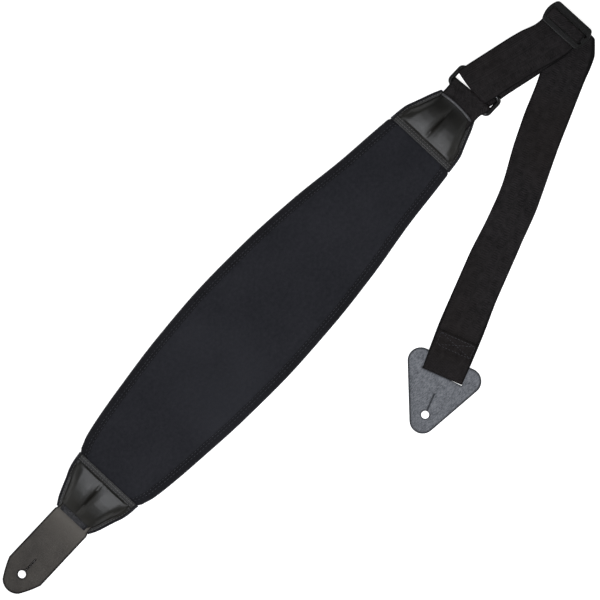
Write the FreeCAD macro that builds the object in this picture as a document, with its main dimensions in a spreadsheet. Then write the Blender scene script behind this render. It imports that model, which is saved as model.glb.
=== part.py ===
import FreeCAD, Part
import math
import os
from FreeCAD import Placement, Rotation, Vector

# A padded instrument shoulder strap, lying flat with its long webbing run folded back.
# Millimetres. Origin: the tail tab's button hole at the floor, X along the pad, Z up.

doc = FreeCAD.newDocument("shoulder_strap")

SIZES = [
    ("webbing_width", 38.0), ("webbing_thick", 1.3), ("layer_gap", 0.1),
    ("leather_thick", 3.0), ("suede_thick", 2.6), ("hole_radius", 3.5), ("slit_width", 0.8),
    ("tab_half_width", 18.8), ("tab_root_half", 17.0), ("hinge_gap", 2.0), ("tab_hinge_x", 62.0),
    ("panel_thick", 1.2), ("pad_thick", 6.4), ("fabric_thick", 0.5), ("binding_thick", 0.4),
    ("binding_width", 8.5), ("binding_row_1", 5.5), ("binding_row_2", 8.0), ("thread_size", 0.5),
    ("pad_start_x", 100.0), ("pad_end_x", 524.0), ("ramp_length", 34.0), ("tape_width", 50.0),
    ("bow_height", 3.5), ("bow_peak_x", 370.0), ("bow_spread", 176.7),
    ("tail_cap_end_x", 112.0), ("head_cap_start_x", 512.0),
    ("flange_width", 4.5), ("crease_width", 2.0), ("cap_hem_z", 7.9), ("hem_row_half", 30.0),
    ("ring_bar", 4.2), ("ring_low_x", 568.0), ("ring_high_x", 590.0),
    ("ring_low_y", -23.8), ("ring_high_y", 25.0), ("ring_corner", 3.5), ("ring_mid_z", 3.6),
    ("ring_mid_y", 1.0),
    ("glide_thick", 2.6), ("glide_base_z", 5.6), ("glide_half_length", 22.8), ("glide_half_side", 19.5),
    ("near_bar_edge", 10.4), ("far_bar_edge", 12.2), ("slot_far", 5.4), ("slot_near", 2.2),
    ("slot_length", 39.6), ("glide_corner", 4.0), ("glide_x", 675.0), ("glide_y", -19.2), ("glide_turn", 1.0),
    ("wrap_reach", 8.0), ("front_drop", 28.0), ("back_rise", 24.0), ("sewn_tail", 28.0), ("lap_leg", 5.0),
    ("fold_offset", 6.4), ("fold_sideways", -5.6), ("fold_radius", 2.0), ("fold_heading", 93.0),
    ("adjuster_heading", -14.1), ("wrap_y", 0.3), ("tack_half", 17.0), ("tack_size", 0.16),
    ("run_heading", 204.6), ("head_heading", 199.4), ("run_bend_radius", 500.0),
    ("run_first", 185.0), ("run_second", 143.2), ("run_width", 37.6), ("near_run_length", 150.0),
    ("tab_base", 16.0), ("tab_half_base", 40.9), ("tab_apex", 69.7), ("tab_corner", 11.5),
    ("head_hole_offset", 37.5), ("slot_start", -0.5), ("slot_end", 1.1), ("tab_slot_length", 39.6),
    ("flap_length", 37.0), ("head_slit_end", 18.0), ("tail_slit_end", 17.5), ("flex_inset", 1.5),
    ("tail_ramp_start", 42.0), ("tail_ramp_end", 60.0), ("tail_root_end", 98.0), ("tail_shoulder_x", 4.0),
    ("head_ramp_start", 4.0), ("head_ramp_end", 24.0),
]

sizes = doc.addObject("Spreadsheet::Sheet", "sizes")
for row, (alias, value) in enumerate(SIZES, start=1):
    sizes.set(f"A{row}", alias)
    sizes.set(f"B{row}", str(value))
    sizes.setAlias(f"B{row}", alias)
doc.recompute()

WEB = sizes.webbing_thick
GAP = sizes.layer_gap
LAYER = WEB + GAP
nodes = []


# ---------- helpers ----------

def mid(x):
    """The strap's middle line bows gently to one side along the pad."""
    return sizes.bow_height - ((x - sizes.bow_peak_x) / sizes.bow_spread) ** 2


def turned(heading, distance, sideways=0.0, start=(0.0, 0.0)):
    """The point reached from start by going distance along a heading and sideways to its left."""
    a = math.radians(heading)
    return (start[0] + distance * math.cos(a) - sideways * math.sin(a),
            start[1] + distance * math.sin(a) + sideways * math.cos(a))


def face(points, z=0.0):
    wire = Part.makePolygon([Vector(x, y, z) for x, y in points + points[:1]])
    return Part.Face(wire)


def rounded_polygon(points, radius):
    """Edges of a closed outline whose corners are arcs of one radius."""
    edges, ends = [], []
    count = len(points)
    for i in range(count):
        corner = Vector(*points[i], 0)
        before = Vector(*points[i - 1], 0) - corner
        after = Vector(*points[(i + 1) % count], 0) - corner
        half = before.getAngle(after) / 2
        reach = radius / math.tan(half)
        first = corner + before.normalize() * reach
        last = corner + after.normalize() * reach
        inward = (before + after).normalize()
        middle = corner + inward * (radius / math.sin(half) - radius)
        ends.append((first, middle, last))
    for i in range(count):
        first, middle, last = ends[i]
        edges.append(Part.Arc(first, middle, last))
        edges.append(Part.LineSegment(last, ends[(i + 1) % count][0]))
    return edges


def polygon_edges(points):
    count = len(points)
    return [Part.LineSegment(Vector(*points[i], 0), Vector(*points[(i + 1) % count], 0))
            for i in range(count)]


def new_body(name):
    body = doc.addObject("PartDesign::Body", name)
    body.Label = name
    nodes.append(body)
    return body


def sketch(body, name, geometry, role="XY_Plane", height=0.0):
    made = body.newObject("Sketcher::SketchObject", name)
    plane = [f for f in body.Origin.OriginFeatures if f.Role == role][0]
    made.AttachmentSupport = [(plane, "")]
    made.MapMode = "FlatFace"
    made.AttachmentOffset = Placement(Vector(0, 0, height), Rotation())
    made.addGeometry(geometry)
    return made


def pad(body, profile, length, centred=False):
    made = body.newObject("PartDesign::Pad", profile.Name + "_pad")
    made.Profile = profile
    made.setExpression("Length", length)
    made.Midplane = centred
    body.Tip = made
    doc.recompute()
    return made


def pocket(body, profile):
    """Cuts the profile right through, both ways, and checks that it removed material."""
    before = body.Shape.Volume
    made = body.newObject("PartDesign::Pocket", profile.Name + "_cut")
    made.Profile = profile
    made.Type = "ThroughAll"
    made.Midplane = True
    body.Tip = made
    doc.recompute()
    if not body.Shape.Volume < before - 0.01:
        raise ValueError(profile.Name + " cut nothing")
    return made


def soften(body, name, radius, upright):
    """Rounds a body's upright edges, or all its others."""
    base = body.Tip
    made = body.newObject("PartDesign::Fillet", name)
    chosen = []
    for i, edge in enumerate(base.Shape.Edges):
        if (edge.BoundBox.ZLength > 0.1) == upright:
            chosen.append("Edge%d" % (i + 1))
    made.Base = (base, chosen)
    made.Radius = radius
    body.Tip = made
    doc.recompute()


def feature(name, shape):
    made = doc.addObject("Part::Feature", name)
    made.Label = name
    made.Shape = shape
    made.Placement = Placement()
    nodes.append(made)
    return made


def prism(flat, low, high):
    moved = flat.copy()
    moved.translate(Vector(0, 0, low))
    return moved.extrude(Vector(0, 0, high - low))


def side_prism(points):
    """A block with the given outline in X and Z that spans the whole width of the strap."""
    wire = Part.makePolygon([Vector(x, -90, z) for x, z in points + points[:1]])
    return Part.Face(wire).extrude(Vector(0, 180, 0))


def webbing_side(name, outlines, width="sizes.webbing_width", place=None):
    """A piece of webbing from its outline seen edge-on, centred on its own length's line."""
    body = new_body(name)
    geometry = []
    for outline in outlines:
        geometry += polygon_edges(outline)
    side = sketch(body, name + "_side", geometry, role="XZ_Plane")
    pad(body, side, width, centred=True)
    body.Placement = place or Placement()
    return body


def line_rows(rows, low, size):
    """Thread laid along straight rows, each row one thin strip."""
    strips = []
    for start, end in rows:
        run = Vector(end[0] - start[0], end[1] - start[1], 0)
        strip = Part.makeBox(run.Length, size, size / 2)
        strip.translate(Vector(0, -size / 2, 0))
        angle = math.degrees(math.atan2(run.y, run.x))
        strip.Placement = Placement(Vector(start[0], start[1], low), Rotation(Vector(0, 0, 1), angle))
        strips.append(strip)
    return Part.makeCompound(strips)


# ---------- tail tab: leather, with a button hole and a slit ----------

def tail_tab():
    half = sizes.tab_half_width
    body = new_body("tail_tab")
    far = sizes.tab_hinge_x - sizes.hinge_gap / 2
    shoulder, flank_x, flank_y = sizes.tail_shoulder_x, -6.5, 14.2
    nose_x, nose_y, tip_x = -14.5, 9.6, -18.6
    outline = [
        Part.LineSegment(Vector(far, -half, 0), Vector(far, half, 0)),
        Part.LineSegment(Vector(far, half, 0), Vector(shoulder, half, 0)),
        Part.Arc(Vector(shoulder, half, 0), Vector(flank_x, flank_y, 0), Vector(nose_x, nose_y, 0)),
        Part.Arc(Vector(nose_x, nose_y, 0), Vector(tip_x, 0, 0), Vector(nose_x, -nose_y, 0)),
        Part.Arc(Vector(nose_x, -nose_y, 0), Vector(flank_x, -flank_y, 0), Vector(shoulder, -half, 0)),
        Part.LineSegment(Vector(shoulder, -half, 0), Vector(far, -half, 0)),
    ]
    plan = sketch(body, "tail_tab_plan", outline, height=-1.0)
    pad(body, plan, "sizes.leather_thick + 4")
    rise = sizes.panel_thick + GAP
    thick = sizes.leather_thick
    ramp, flat = sizes.tail_ramp_start, sizes.tail_ramp_end
    above = [(-25, thick), (ramp, thick), (flat, thick + rise), (70, thick + rise), (70, 9), (-25, 9)]
    below = [(-25, 0), (ramp, 0), (flat, rise), (70, rise), (70, -3), (-25, -3)]
    pocket(body, sketch(body, "tail_tab_top", polygon_edges(above), role="XZ_Plane"))
    pocket(body, sketch(body, "tail_tab_under", polygon_edges(below), role="XZ_Plane"))
    hole = [Part.Circle(Vector(0, 0, 0), Vector(0, 0, 1), sizes.hole_radius)]
    pocket(body, sketch(body, "tail_tab_hole", hole))
    slit = sizes.slit_width / 2
    inside = sizes.hole_radius - 1
    outline = [(inside, -slit), (sizes.tail_slit_end, -slit), (sizes.tail_slit_end, slit), (inside, slit)]
    pocket(body, sketch(body, "tail_tab_slit", polygon_edges(outline)))
    root_start, root_end = sizes.tab_hinge_x + sizes.hinge_gap / 2, sizes.tail_root_end
    root = new_body("tail_tab_root")
    root_half = sizes.tab_root_half
    plan = [(root_start, -root_half), (root_start, root_half), (root_end, root_half), (root_end, -root_half)]
    pad(root, sketch(root, "tail_root_plan", polygon_edges(plan), height=rise), "sizes.leather_thick")


# ---------- the pad: foam between two fabrics, with a bound edge ----------

PAD_HALF_WIDTH = [(92, 33.0), (112, 35.2), (128, 40.2), (152, 44.2), (177, 47.2), (232, 52.4),
                  (290, 54.7), (345, 53.1), (400, 48.5), (457, 40.8), (492, 37.5), (514, 35.2), (530, 33.4)]


def strip_outline(stations, inset, low_x, high_x):
    """The flat outline between two X values of a strip whose half width is given at stations."""
    sides = []
    for sign in (1, -1):
        curve = Part.BSplineCurve()
        curve.interpolate([Vector(x, mid(x) + sign * (half - inset), 0) for x, half in stations])
        sides.append(curve.toShape())
    ends = []
    for x, half in (stations[0], stations[-1]):
        ends.append(Part.makeLine(Vector(x, mid(x) + half - inset, 0), Vector(x, mid(x) - half + inset, 0)))
    flat = Part.Face(Part.Wire(Part.__sortEdges__(sides + ends)))
    window = face([(low_x, -90), (high_x, -90), (high_x, 90), (low_x, 90)])
    return flat.common(window).Faces[0]


def pad_outline(inset):
    """The pad's flat outline, drawn in from its edge by inset."""
    return strip_outline(PAD_HALF_WIDTH, inset, sizes.pad_start_x, sizes.pad_end_x)


def pad_side(low, high):
    """The pad seen from its edge: its underside rises over the caps' back panels."""
    start, end = sizes.pad_start_x - 1, sizes.pad_end_x + 1
    lift = sizes.panel_thick + GAP
    ramp = sizes.ramp_length
    tail, head = sizes.tail_cap_end_x + 3, sizes.head_cap_start_x - 3
    squeeze = (sizes.pad_thick - lift) / sizes.pad_thick
    return side_prism([
        (start, lift + low * squeeze), (tail, lift + low * squeeze), (tail + ramp, low),
        (head - ramp, low), (head, lift + low * squeeze), (end, lift + low * squeeze),
        (end, lift + high * squeeze), (head, lift + high * squeeze), (head - ramp, high),
        (tail + ramp, high), (tail, lift + high * squeeze), (start, lift + high * squeeze)])


def pad_layers():
    fabric, edge = sizes.fabric_thick, sizes.binding_thick
    inner_high = sizes.pad_thick - edge
    inner = pad_outline(edge)
    slab = prism(inner, -5, 20)
    tape_half = sizes.tape_width / 2
    tape_low = edge + fabric
    feature("pad_backing", slab.common(pad_side(edge, edge + fabric)))
    core = slab.common(pad_side(edge + fabric, inner_high - fabric))
    tape = Part.makeBox(sizes.pad_end_x - sizes.pad_start_x - 8, 2 * tape_half, 20,
                        Vector(sizes.pad_start_x + 4, mid(300) - tape_half, -5))
    tape = tape.common(pad_side(tape_low, tape_low + 0.8))
    feature("inner_control_tape", tape)
    feature("pad_core", core.cut(tape))
    feature("pad_facing", slab.common(pad_side(inner_high - fabric, inner_high)))
    whole = prism(pad_outline(0), -5, 20).common(pad_side(0, sizes.pad_thick))
    filled = slab.common(pad_side(edge, inner_high))
    middle = prism(pad_outline(sizes.binding_width), -5, 20)
    band = whole.cut(filled).cut(middle)
    cut_x = [(sizes.tail_cap_end_x + 0.5, -90), (sizes.head_cap_start_x - 0.5, -90),
             (sizes.head_cap_start_x - 0.5, 90), (sizes.tail_cap_end_x + 0.5, 90)]
    band = band.common(prism(face(cut_x), -5, 20))
    parts = sorted(band.Solids, key=lambda solid: solid.CenterOfMass.y)
    feature("edge_binding_right", Part.makeCompound([s for s in parts if s.CenterOfMass.y < 0]))
    feature("edge_binding_left", Part.makeCompound([s for s in parts if s.CenterOfMass.y > 0]))


def binding_thread():
    """Two rows of stitches inside each bound edge, each row a thin strip on the binding."""
    size = sizes.thread_size
    rows = []
    bounds = face([(150, -90), (474, -90), (474, 90), (150, 90)])
    for inset in (sizes.binding_row_1, sizes.binding_row_2):
        outer = prism(pad_outline(inset - size / 2), sizes.pad_thick, sizes.pad_thick + size / 2)
        inner = prism(pad_outline(inset + size / 2), 0, 20)
        rows += outer.cut(inner).common(prism(bounds, 0, 20)).Solids
    feature("binding_thread", Part.makeCompound(rows))


# ---------- the end caps: front and back panels, stuffing between them ----------

TAIL_CAP_HALF = [(65, 18.9), (72, 22.9), (80, 26.1), (88, 29.0), (96, 32.2), (104, 34.0), (112, 34.7)]
HEAD_CAP_HALF = [(512, 35.1), (520, 34.3), (528, 33.0), (536, 30.0), (544, 26.9), (552, 23.8), (560, 20.1)]


def cap(prefix, stations, crown, held):
    """One cap. crown lists (x, top height) along its middle; held is the block that leaves by its mouth."""
    panel = sizes.panel_thick
    ends = (stations[0][0], stations[-1][0])
    outline = strip_outline(stations, 0, *ends)
    feature(prefix + "_cap_back", prism(outline, 0, panel))
    outer = prism(outline, panel, 30).common(side_prism(
        [(crown[0][0], -1)] + crown + [(crown[-1][0], -1)]))
    hollow_plan = strip_outline(stations, sizes.flange_width, *ends)
    hollow_side = [(crown[0][0] - 1, -1), (crown[0][0] - 1, crown[0][1] - panel)]
    hollow_side += [(x, z - panel) for x, z in crown]
    hollow_side += [(crown[-1][0] + 1, crown[-1][1] - panel), (crown[-1][0] + 1, -1)]
    hollow = prism(hollow_plan, 0, 30).common(side_prism(hollow_side))
    pad_room = prism(pad_outline(-1), 0, 30).common(pad_side(-1, sizes.pad_thick + GAP))
    shell = outer.cut(hollow).cut(pad_room).cut(held)
    feature(prefix + "_cap_front", max(shell.Solids, key=lambda solid: solid.Volume))
    return hollow


def pillows(name, hollow, low_x, high_x, low_z):
    """Two stuffed pads side by side under a cap's front panel."""
    half_crease = sizes.crease_width / 2
    inside = hollow.common(Part.makeBox(high_x - low_x, 180, 30, Vector(low_x, -90, low_z)))
    lowered = inside.copy()
    lowered.translate(Vector(0, 0, -GAP))
    inside = inside.common(lowered)
    y = mid((low_x + high_x) / 2)
    crease = Part.makeBox(high_x - low_x + 2, 2 * half_crease, 40, Vector(low_x - 1, y - half_crease, -5))
    feature(name, Part.makeCompound(inside.cut(crease).Solids))


def hem_stitches(name, edge_x, offsets):
    """Rows of thread across a cap's hem, at distances from the hem's edge, on its sloping top."""
    rows = []
    for offset in offsets:
        x = edge_x + offset
        low = sizes.cap_hem_z + abs(offset) * 0.15 + 0.15
        line = ((x, mid(x) - sizes.hem_row_half), (x, mid(x) + sizes.hem_row_half))
        rows += line_rows([line], low, sizes.thread_size).Solids
    feature(name, Part.makeCompound(rows))


def caps():
    tail_crown = [(65, 6.2), (72, 7.4), (84, 9.6), (97, 10.4), (106, 8.8), (112, sizes.cap_hem_z)]
    head_crown = [(512, sizes.cap_hem_z), (518, 8.8), (527, 10.4), (540, 9.6), (552, 7.4), (560, 5.4)]
    root_top = sizes.panel_thick + GAP + sizes.leather_thick + GAP
    root_half = sizes.tab_root_half + GAP
    root_room = Part.makeBox(40, 2 * root_half, root_top, Vector(60, -root_half, 0))
    loop_half = (sizes.webbing_width - 4) / 2 + GAP
    loop_top = sizes.panel_thick + 2 * GAP + 2 * LAYER
    loop_room = Part.makeBox(40, 2 * loop_half, loop_top, Vector(530, sizes.ring_mid_y - loop_half, 0))
    tail = cap("tail", TAIL_CAP_HALF, tail_crown, root_room)
    head = cap("head", HEAD_CAP_HALF, head_crown, loop_room)
    pillows("tail_cap_pillows", tail, 72, sizes.pad_start_x - 0.5, root_top)
    web_top = sizes.panel_thick + 2 * LAYER + GAP
    pillows("head_cap_pillows", head, sizes.pad_end_x + 0.5, 552, web_top)
    hem_stitches("tail_cap_thread", tail_crown[-1][0], (-3.5, -1.0))
    hem_stitches("head_cap_thread", head_crown[0][0], (1.0, 3.5))
    low, thick = 7.15, 0.6
    mouth = face([(65.2, -13.5), (69.8, -14.5), (69.8, 15.5), (65.2, 14.5)])
    feature("tail_cap_hem", prism(mouth, low, low + thick))
    piping = Part.makeCylinder(0.9, 36, Vector(558.8, mid(560) - 18, 6.75), Vector(0, 1, 0))
    feature("head_cap_piping", piping)


# ---------- webbing loop, ring and adjuster webbing ----------

def anchor_and_ring():
    base = sizes.panel_thick + GAP
    bar_low = sizes.ring_mid_z - sizes.ring_bar / 2
    bar_high = bar_low + sizes.ring_bar
    top = bar_high + GAP + WEB
    outer = [(561, base), (566.5, 0), (574.4, 0), (576.3, 1.9), (576.3, top - 1.9), (574.4, top),
             (567, top), (561, base + 2 * LAYER)]
    inner = [(567, WEB), (573.6, WEB), (574.9, 2.6), (574.9, top - 2.6), (573.6, top - WEB),
             (567.6, top - WEB), (564, base + LAYER)]
    place = Placement(Vector(0, sizes.ring_mid_y, 0), Rotation())
    webbing_side("anchor_loop", [outer, inner], width="sizes.webbing_width - 1.5", place=place)
    root = [(535, base), (560.9, base), (560.9, base + 2 * LAYER), (535, base + 2 * LAYER)]
    webbing_side("anchor_root", [root], width="sizes.webbing_width - 4", place=place)

    half = sizes.ring_bar / 2
    corners = [(sizes.ring_low_x + half, sizes.ring_low_y + half),
               (sizes.ring_high_x - half, sizes.ring_low_y + half),
               (sizes.ring_high_x - half, sizes.ring_high_y - half),
               (sizes.ring_low_x + half, sizes.ring_high_y - half)]
    body = new_body("ring")
    path = sketch(body, "ring_path", rounded_polygon(corners, sizes.ring_corner), height=sizes.ring_mid_z)
    circle = [Part.Circle(Vector(sizes.ring_low_x + half, sizes.ring_mid_z, 0), Vector(0, 0, 1), half)]
    section = sketch(body, "ring_section", circle, role="XZ_Plane")
    doc.recompute()
    pipe = body.newObject("PartDesign::AdditivePipe", "ring_pipe")
    pipe.Profile = section
    pipe.Spine = (path, ["Edge%d" % (i + 1) for i in range(8)])
    body.Tip = pipe


def adjuster_start():
    """The point where the two adjuster layers leave the bend round the ring."""
    bar_x = sizes.ring_high_x - sizes.ring_bar / 2
    return (bar_x, sizes.wrap_y)


def trim_end(body, skew, distance, centre):
    """Cuts a layer's end square to the slider, at a distance from the slider's centre."""
    beyond = [turned(skew, distance - 2 * GAP, -40, centre), turned(skew, 60, -40, centre),
              turned(skew, 60, 40, centre), turned(skew, distance - 2 * GAP, 40, centre)]
    pocket(body, sketch(body, body.Label + "_end", polygon_edges(beyond)))


def adjuster():
    heading = sizes.adjuster_heading
    start = adjuster_start()
    top = sizes.ring_mid_z + sizes.ring_bar / 2 + GAP + WEB
    reach = sizes.wrap_reach
    half = sizes.webbing_width / 2 - 1.0
    outer = [(582.3, 19.0), (577.5, -17.2), turned(heading, reach, -half, start),
             turned(heading, reach, half, start)]
    inner = [(583.7, 25), (578.9, -25), turned(heading, reach + 2, -30, start),
             turned(heading, reach + 2, 30, start)]
    bend = prism(face(outer), 0, top).cut(prism(face(inner), WEB, top - WEB))
    feature("ring_wrap", bend)

    dx, dy = sizes.glide_x - start[0], sizes.glide_y - start[1]
    a = math.radians(heading)
    glide_s = dx * math.cos(a) + dy * math.sin(a)
    first = reach + GAP
    place = Placement(Vector(start[0], start[1], 0), Rotation(Vector(0, 0, 1), heading))
    front_low = 3 * LAYER
    back_low = LAYER
    glide_n = dy * math.cos(a) - dx * math.sin(a)
    skew = sizes.glide_turn - heading
    drop, rise = sizes.front_drop, sizes.back_rise
    front = [(first, top - WEB), (drop, front_low), (glide_s, front_low), (glide_s, front_low + WEB),
             (drop, front_low + WEB), (first, top)]
    layer = webbing_side("adjuster_front_layer", [front], place=place)
    trim_end(layer, skew, -sizes.lap_leg, (glide_s, glide_n))
    back_end = glide_s - 20
    back = [(first, 0), (rise, back_low), (back_end, back_low), (back_end, back_low + WEB),
            (rise, back_low + WEB), (first, WEB)]
    layer = webbing_side("adjuster_back_layer", [back], place=place)
    trim_end(layer, skew, -sizes.sewn_tail, (glide_s, glide_n))


# ---------- the slider and the webbing that runs through it ----------

def glide_place():
    return Placement(Vector(sizes.glide_x, sizes.glide_y, 0), Rotation(Vector(0, 0, 1), sizes.glide_turn))


def glide():
    near, far = sizes.near_bar_edge, sizes.far_bar_edge
    side, end = sizes.glide_half_side, sizes.glide_half_length
    body = new_body("glide")
    outline = [
        Part.LineSegment(Vector(-near, side, 0), Vector(-near, -side, 0)),
        Part.Arc(Vector(-near, -side, 0), Vector(0, -end, 0), Vector(far, -side, 0)),
        Part.LineSegment(Vector(far, -side, 0), Vector(far, side, 0)),
        Part.Arc(Vector(far, side, 0), Vector(0, end, 0), Vector(-near, side, 0)),
    ]
    plan = sketch(body, "glide_plan", outline, height=sizes.glide_base_z)
    pad(body, plan, "sizes.glide_thick")
    soften(body, "glide_corners", sizes.glide_corner, upright=True)
    soften(body, "glide_edges", 0.8, upright=False)
    half = sizes.slot_length / 2
    for name, low, high in (("near", -sizes.slot_far, -sizes.slot_near), ("far", sizes.slot_near, sizes.slot_far)):
        slot = polygon_edges([(low, -half), (high, -half), (high, half), (low, half)])
        pocket(body, sketch(body, "glide_slot_" + name, slot))
    body.Placement = glide_place()


def glide_webbing():
    """The sewn webbing end round the centre bar, and the run that laps over it."""
    base = sizes.glide_base_z
    bar_top = base + sizes.glide_thick
    bar = sizes.slot_near
    out = bar + GAP + WEB
    loop_top = bar_top + GAP + WEB
    tail = -sizes.sewn_tail
    loop = [(tail, LAYER), (out, LAYER), (out, loop_top), (-out, loop_top), (-out, 3 * LAYER - GAP),
            (tail, 3 * LAYER - GAP)]
    hole = [(-bar - GAP, LAYER + WEB), (bar + GAP, LAYER + WEB), (bar + GAP, bar_top + GAP),
            (-bar - GAP, bar_top + GAP)]
    webbing_side("sewn_end_loop", [loop, hole], place=glide_place())
    inner = out + GAP
    outer = inner + WEB
    lap_top = loop_top + GAP + WEB
    foot = 2 * sizes.fold_radius + 0.1
    lap = [(-outer, 3 * LAYER), (-inner, 3 * LAYER), (-inner, loop_top + GAP), (inner, loop_top + GAP),
           (inner, foot), (sizes.fold_offset, foot), (sizes.fold_offset, foot + WEB), (outer, foot + WEB),
           (outer, lap_top - 1), (outer - 1, lap_top), (-outer + 1, lap_top), (-outer, lap_top - 1)]
    webbing_side("webbing_over_bar", [lap], place=glide_place())
    half = sizes.tack_half
    tack = line_rows([((-26, -half), (-26, half)), ((-22, -half), (-22, half))], 3 * LAYER - GAP, sizes.tack_size)
    made = feature("bar_tack", tack)
    made.Placement = glide_place()


# ---------- the fold and the long run ----------

def fold_point():
    return turned(sizes.glide_turn, sizes.fold_offset, sizes.fold_sideways, (sizes.glide_x, sizes.glide_y))


def fold():
    radius = sizes.fold_radius
    heading = sizes.fold_heading
    slant = math.radians(sizes.run_heading - 180 - (heading - 90))
    length = sizes.run_width / math.cos(slant)
    outer = Part.makeCylinder(radius, length, Vector(0, -length / 2, radius), Vector(0, 1, 0))
    inner = Part.makeCylinder(radius - WEB, length + 2, Vector(0, -length / 2 - 1, radius), Vector(0, 1, 0))
    keep = Part.makeBox(10, length + 2, 10, Vector(0, -length / 2 - 1, -2))
    bend = outer.cut(inner).common(keep)
    made = feature("webbing_fold", bend)
    point = fold_point()
    made.Placement = Placement(Vector(point[0], point[1], 0), Rotation(Vector(0, 0, 1), heading - 90))


def run_path_points():
    start = fold_point()
    turn = turned(sizes.run_heading, sizes.run_first, 0, start)
    end = turned(sizes.head_heading, sizes.run_second, 0, turn)
    return start, turn, end


def run_outline():
    """The long run's flat outline, from the fold to the leather tab's slot."""
    start, turn, end = run_path_points()
    half = sizes.run_width / 2
    swing = math.radians(sizes.run_heading - sizes.head_heading)
    edges = []
    ends = []
    for side in (half, -half):
        reach = (sizes.run_bend_radius + side) * math.tan(swing / 2)
        corner = turned(sizes.run_heading, side * math.tan(swing / 2), side, turn)
        first = turned(sizes.run_heading, -reach, 0, corner)
        last = turned(sizes.head_heading, reach, 0, corner)
        bow = (sizes.run_bend_radius + side) * (1 / math.cos(swing / 2) - 1)
        middle = turned((sizes.run_heading + sizes.head_heading) / 2 - 90, bow, 0, corner)
        slant = math.radians(sizes.run_heading - 180 - (sizes.fold_heading - 90))
        begin = turned(sizes.run_heading, side * math.tan(slant), side, start)
        finish = turned(sizes.head_heading, 0, side, end)
        edges += [Part.makeLine(Vector(*begin, 0), Vector(*first, 0)),
                  Part.Arc(Vector(*first, 0), Vector(*middle, 0), Vector(*last, 0)).toShape(),
                  Part.makeLine(Vector(*last, 0), Vector(*finish, 0))]
        ends.append((begin, finish))
    edges.append(Part.makeLine(Vector(*ends[0][0], 0), Vector(*ends[1][0], 0)))
    edges.append(Part.makeLine(Vector(*ends[0][1], 0), Vector(*ends[1][1], 0)))
    return Part.Face(Part.Wire(Part.__sortEdges__(edges)))


def crossing(heading, point, low, high):
    """A wide block across the strap between two distances along a heading from a point."""
    return prism(face([turned(heading, low, -60, point), turned(heading, high, -60, point),
                       turned(heading, high, 60, point), turned(heading, low, 60, point)]), -5, 30)


def head_place():
    end = run_path_points()[2]
    return Placement(Vector(end[0], end[1], 0), Rotation(Vector(0, 0, 1), sizes.head_heading))


def long_run():
    start, _, end = run_path_points()
    flat = prism(run_outline(), 0, WEB)
    near = crossing(sizes.run_heading, start, -60, sizes.near_run_length)
    hinge = -sizes.tab_base - sizes.flex_inset
    gap = sizes.hinge_gap / 2
    beyond = crossing(sizes.head_heading, end, hinge - gap, 60)
    feature("long_run_near", flat.common(near))
    feature("long_run", flat.cut(near).cut(beyond))
    flap_low = LAYER - GAP
    flap = [(-sizes.flap_length, flap_low), (hinge - gap, flap_low), (hinge - gap, flap_low + WEB),
            (-sizes.flap_length, flap_low + WEB)]
    webbing_side("end_flap", [flap], width="sizes.run_width", place=head_place())
    box = [(-34, -16), (-34, 16), (-22, 16), (-22, -16)]
    rows = [(box[i], box[(i + 1) % 4]) for i in range(4)]
    made = feature("box_thread", line_rows(rows[::2], flap_low + WEB, sizes.thread_size))
    made.Placement = head_place()


# ---------- the head tab: suede triangle on a webbing bend ----------

def head_tab():
    base, half, apex = sizes.tab_base, sizes.tab_half_base, sizes.tab_apex
    thick = sizes.suede_thick
    body = new_body("head_tab")
    outline = rounded_polygon([(-base, -half), (apex, 0), (-base, half)], sizes.tab_corner)
    plan = sketch(body, "head_tab_plan", outline, height=-1.0)
    pad(body, plan, "sizes.suede_thick + 4")
    ramp, flat = sizes.head_ramp_start, sizes.head_ramp_end
    above = [(-40, thick + LAYER), (ramp, thick + LAYER), (flat, thick), (80, thick), (80, 9), (-40, 9)]
    below = [(-40, LAYER), (ramp, LAYER), (flat, 0), (80, 0), (80, -3), (-40, -3)]
    pocket(body, sketch(body, "head_tab_top", polygon_edges(above), role="XZ_Plane"))
    pocket(body, sketch(body, "head_tab_under", polygon_edges(below), role="XZ_Plane"))
    hole = [Part.Circle(Vector(sizes.head_hole_offset, 0, 0), Vector(0, 0, 1), sizes.hole_radius)]
    pocket(body, sketch(body, "head_tab_hole", hole))
    slit = sizes.slit_width / 2
    inside = sizes.head_hole_offset - sizes.hole_radius + 1
    outline = [(sizes.head_slit_end, -slit), (inside, -slit), (inside, slit), (sizes.head_slit_end, slit)]
    pocket(body, sketch(body, "head_tab_slit", polygon_edges(outline)))
    low, high, length = sizes.slot_start, sizes.slot_end, sizes.tab_slot_length / 2
    outline = [(low, -length), (high, -length), (high, length), (low, length)]
    pocket(body, sketch(body, "head_tab_slot", polygon_edges(outline)))
    body.Placement = head_place()

    hinge = -sizes.tab_base - sizes.flex_inset + sizes.hinge_gap / 2
    top = LAYER + thick + GAP
    edge = sizes.slot_start + GAP
    wrap = [(hinge, 0), (edge + WEB, 0), (edge + WEB, top + WEB), (hinge, top + WEB), (hinge, top),
            (edge, top), (edge, WEB), (hinge, WEB)]
    webbing_side("tab_wrap", [wrap], width="sizes.run_width", place=head_place())


def check_all():
    doc.recompute()
    for made in doc.Objects:
        if "Invalid" in made.State or "Error" in made.State:
            raise ValueError("failed: " + made.Label)
    for node in nodes:
        if node.Shape.isNull() or not node.Shape.isValid():
            raise ValueError("bad shape: " + node.Label)


tail_tab()
pad_layers()
binding_thread()
caps()
anchor_and_ring()
adjuster()
glide()
glide_webbing()
fold()
long_run()
head_tab()
check_all()
os.makedirs("parts", exist_ok=True)
for node in nodes:
    shape = node.Shape
    shape.exportStep("parts/" + node.Label + ".step")
    box = shape.BoundBox
    print(node.Label, len(shape.Solids), round(shape.Volume, 1),
          [round(v, 1) for v in (box.XMin, box.XMax, box.YMin, box.YMax, box.ZMin, box.ZMax)])
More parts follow.
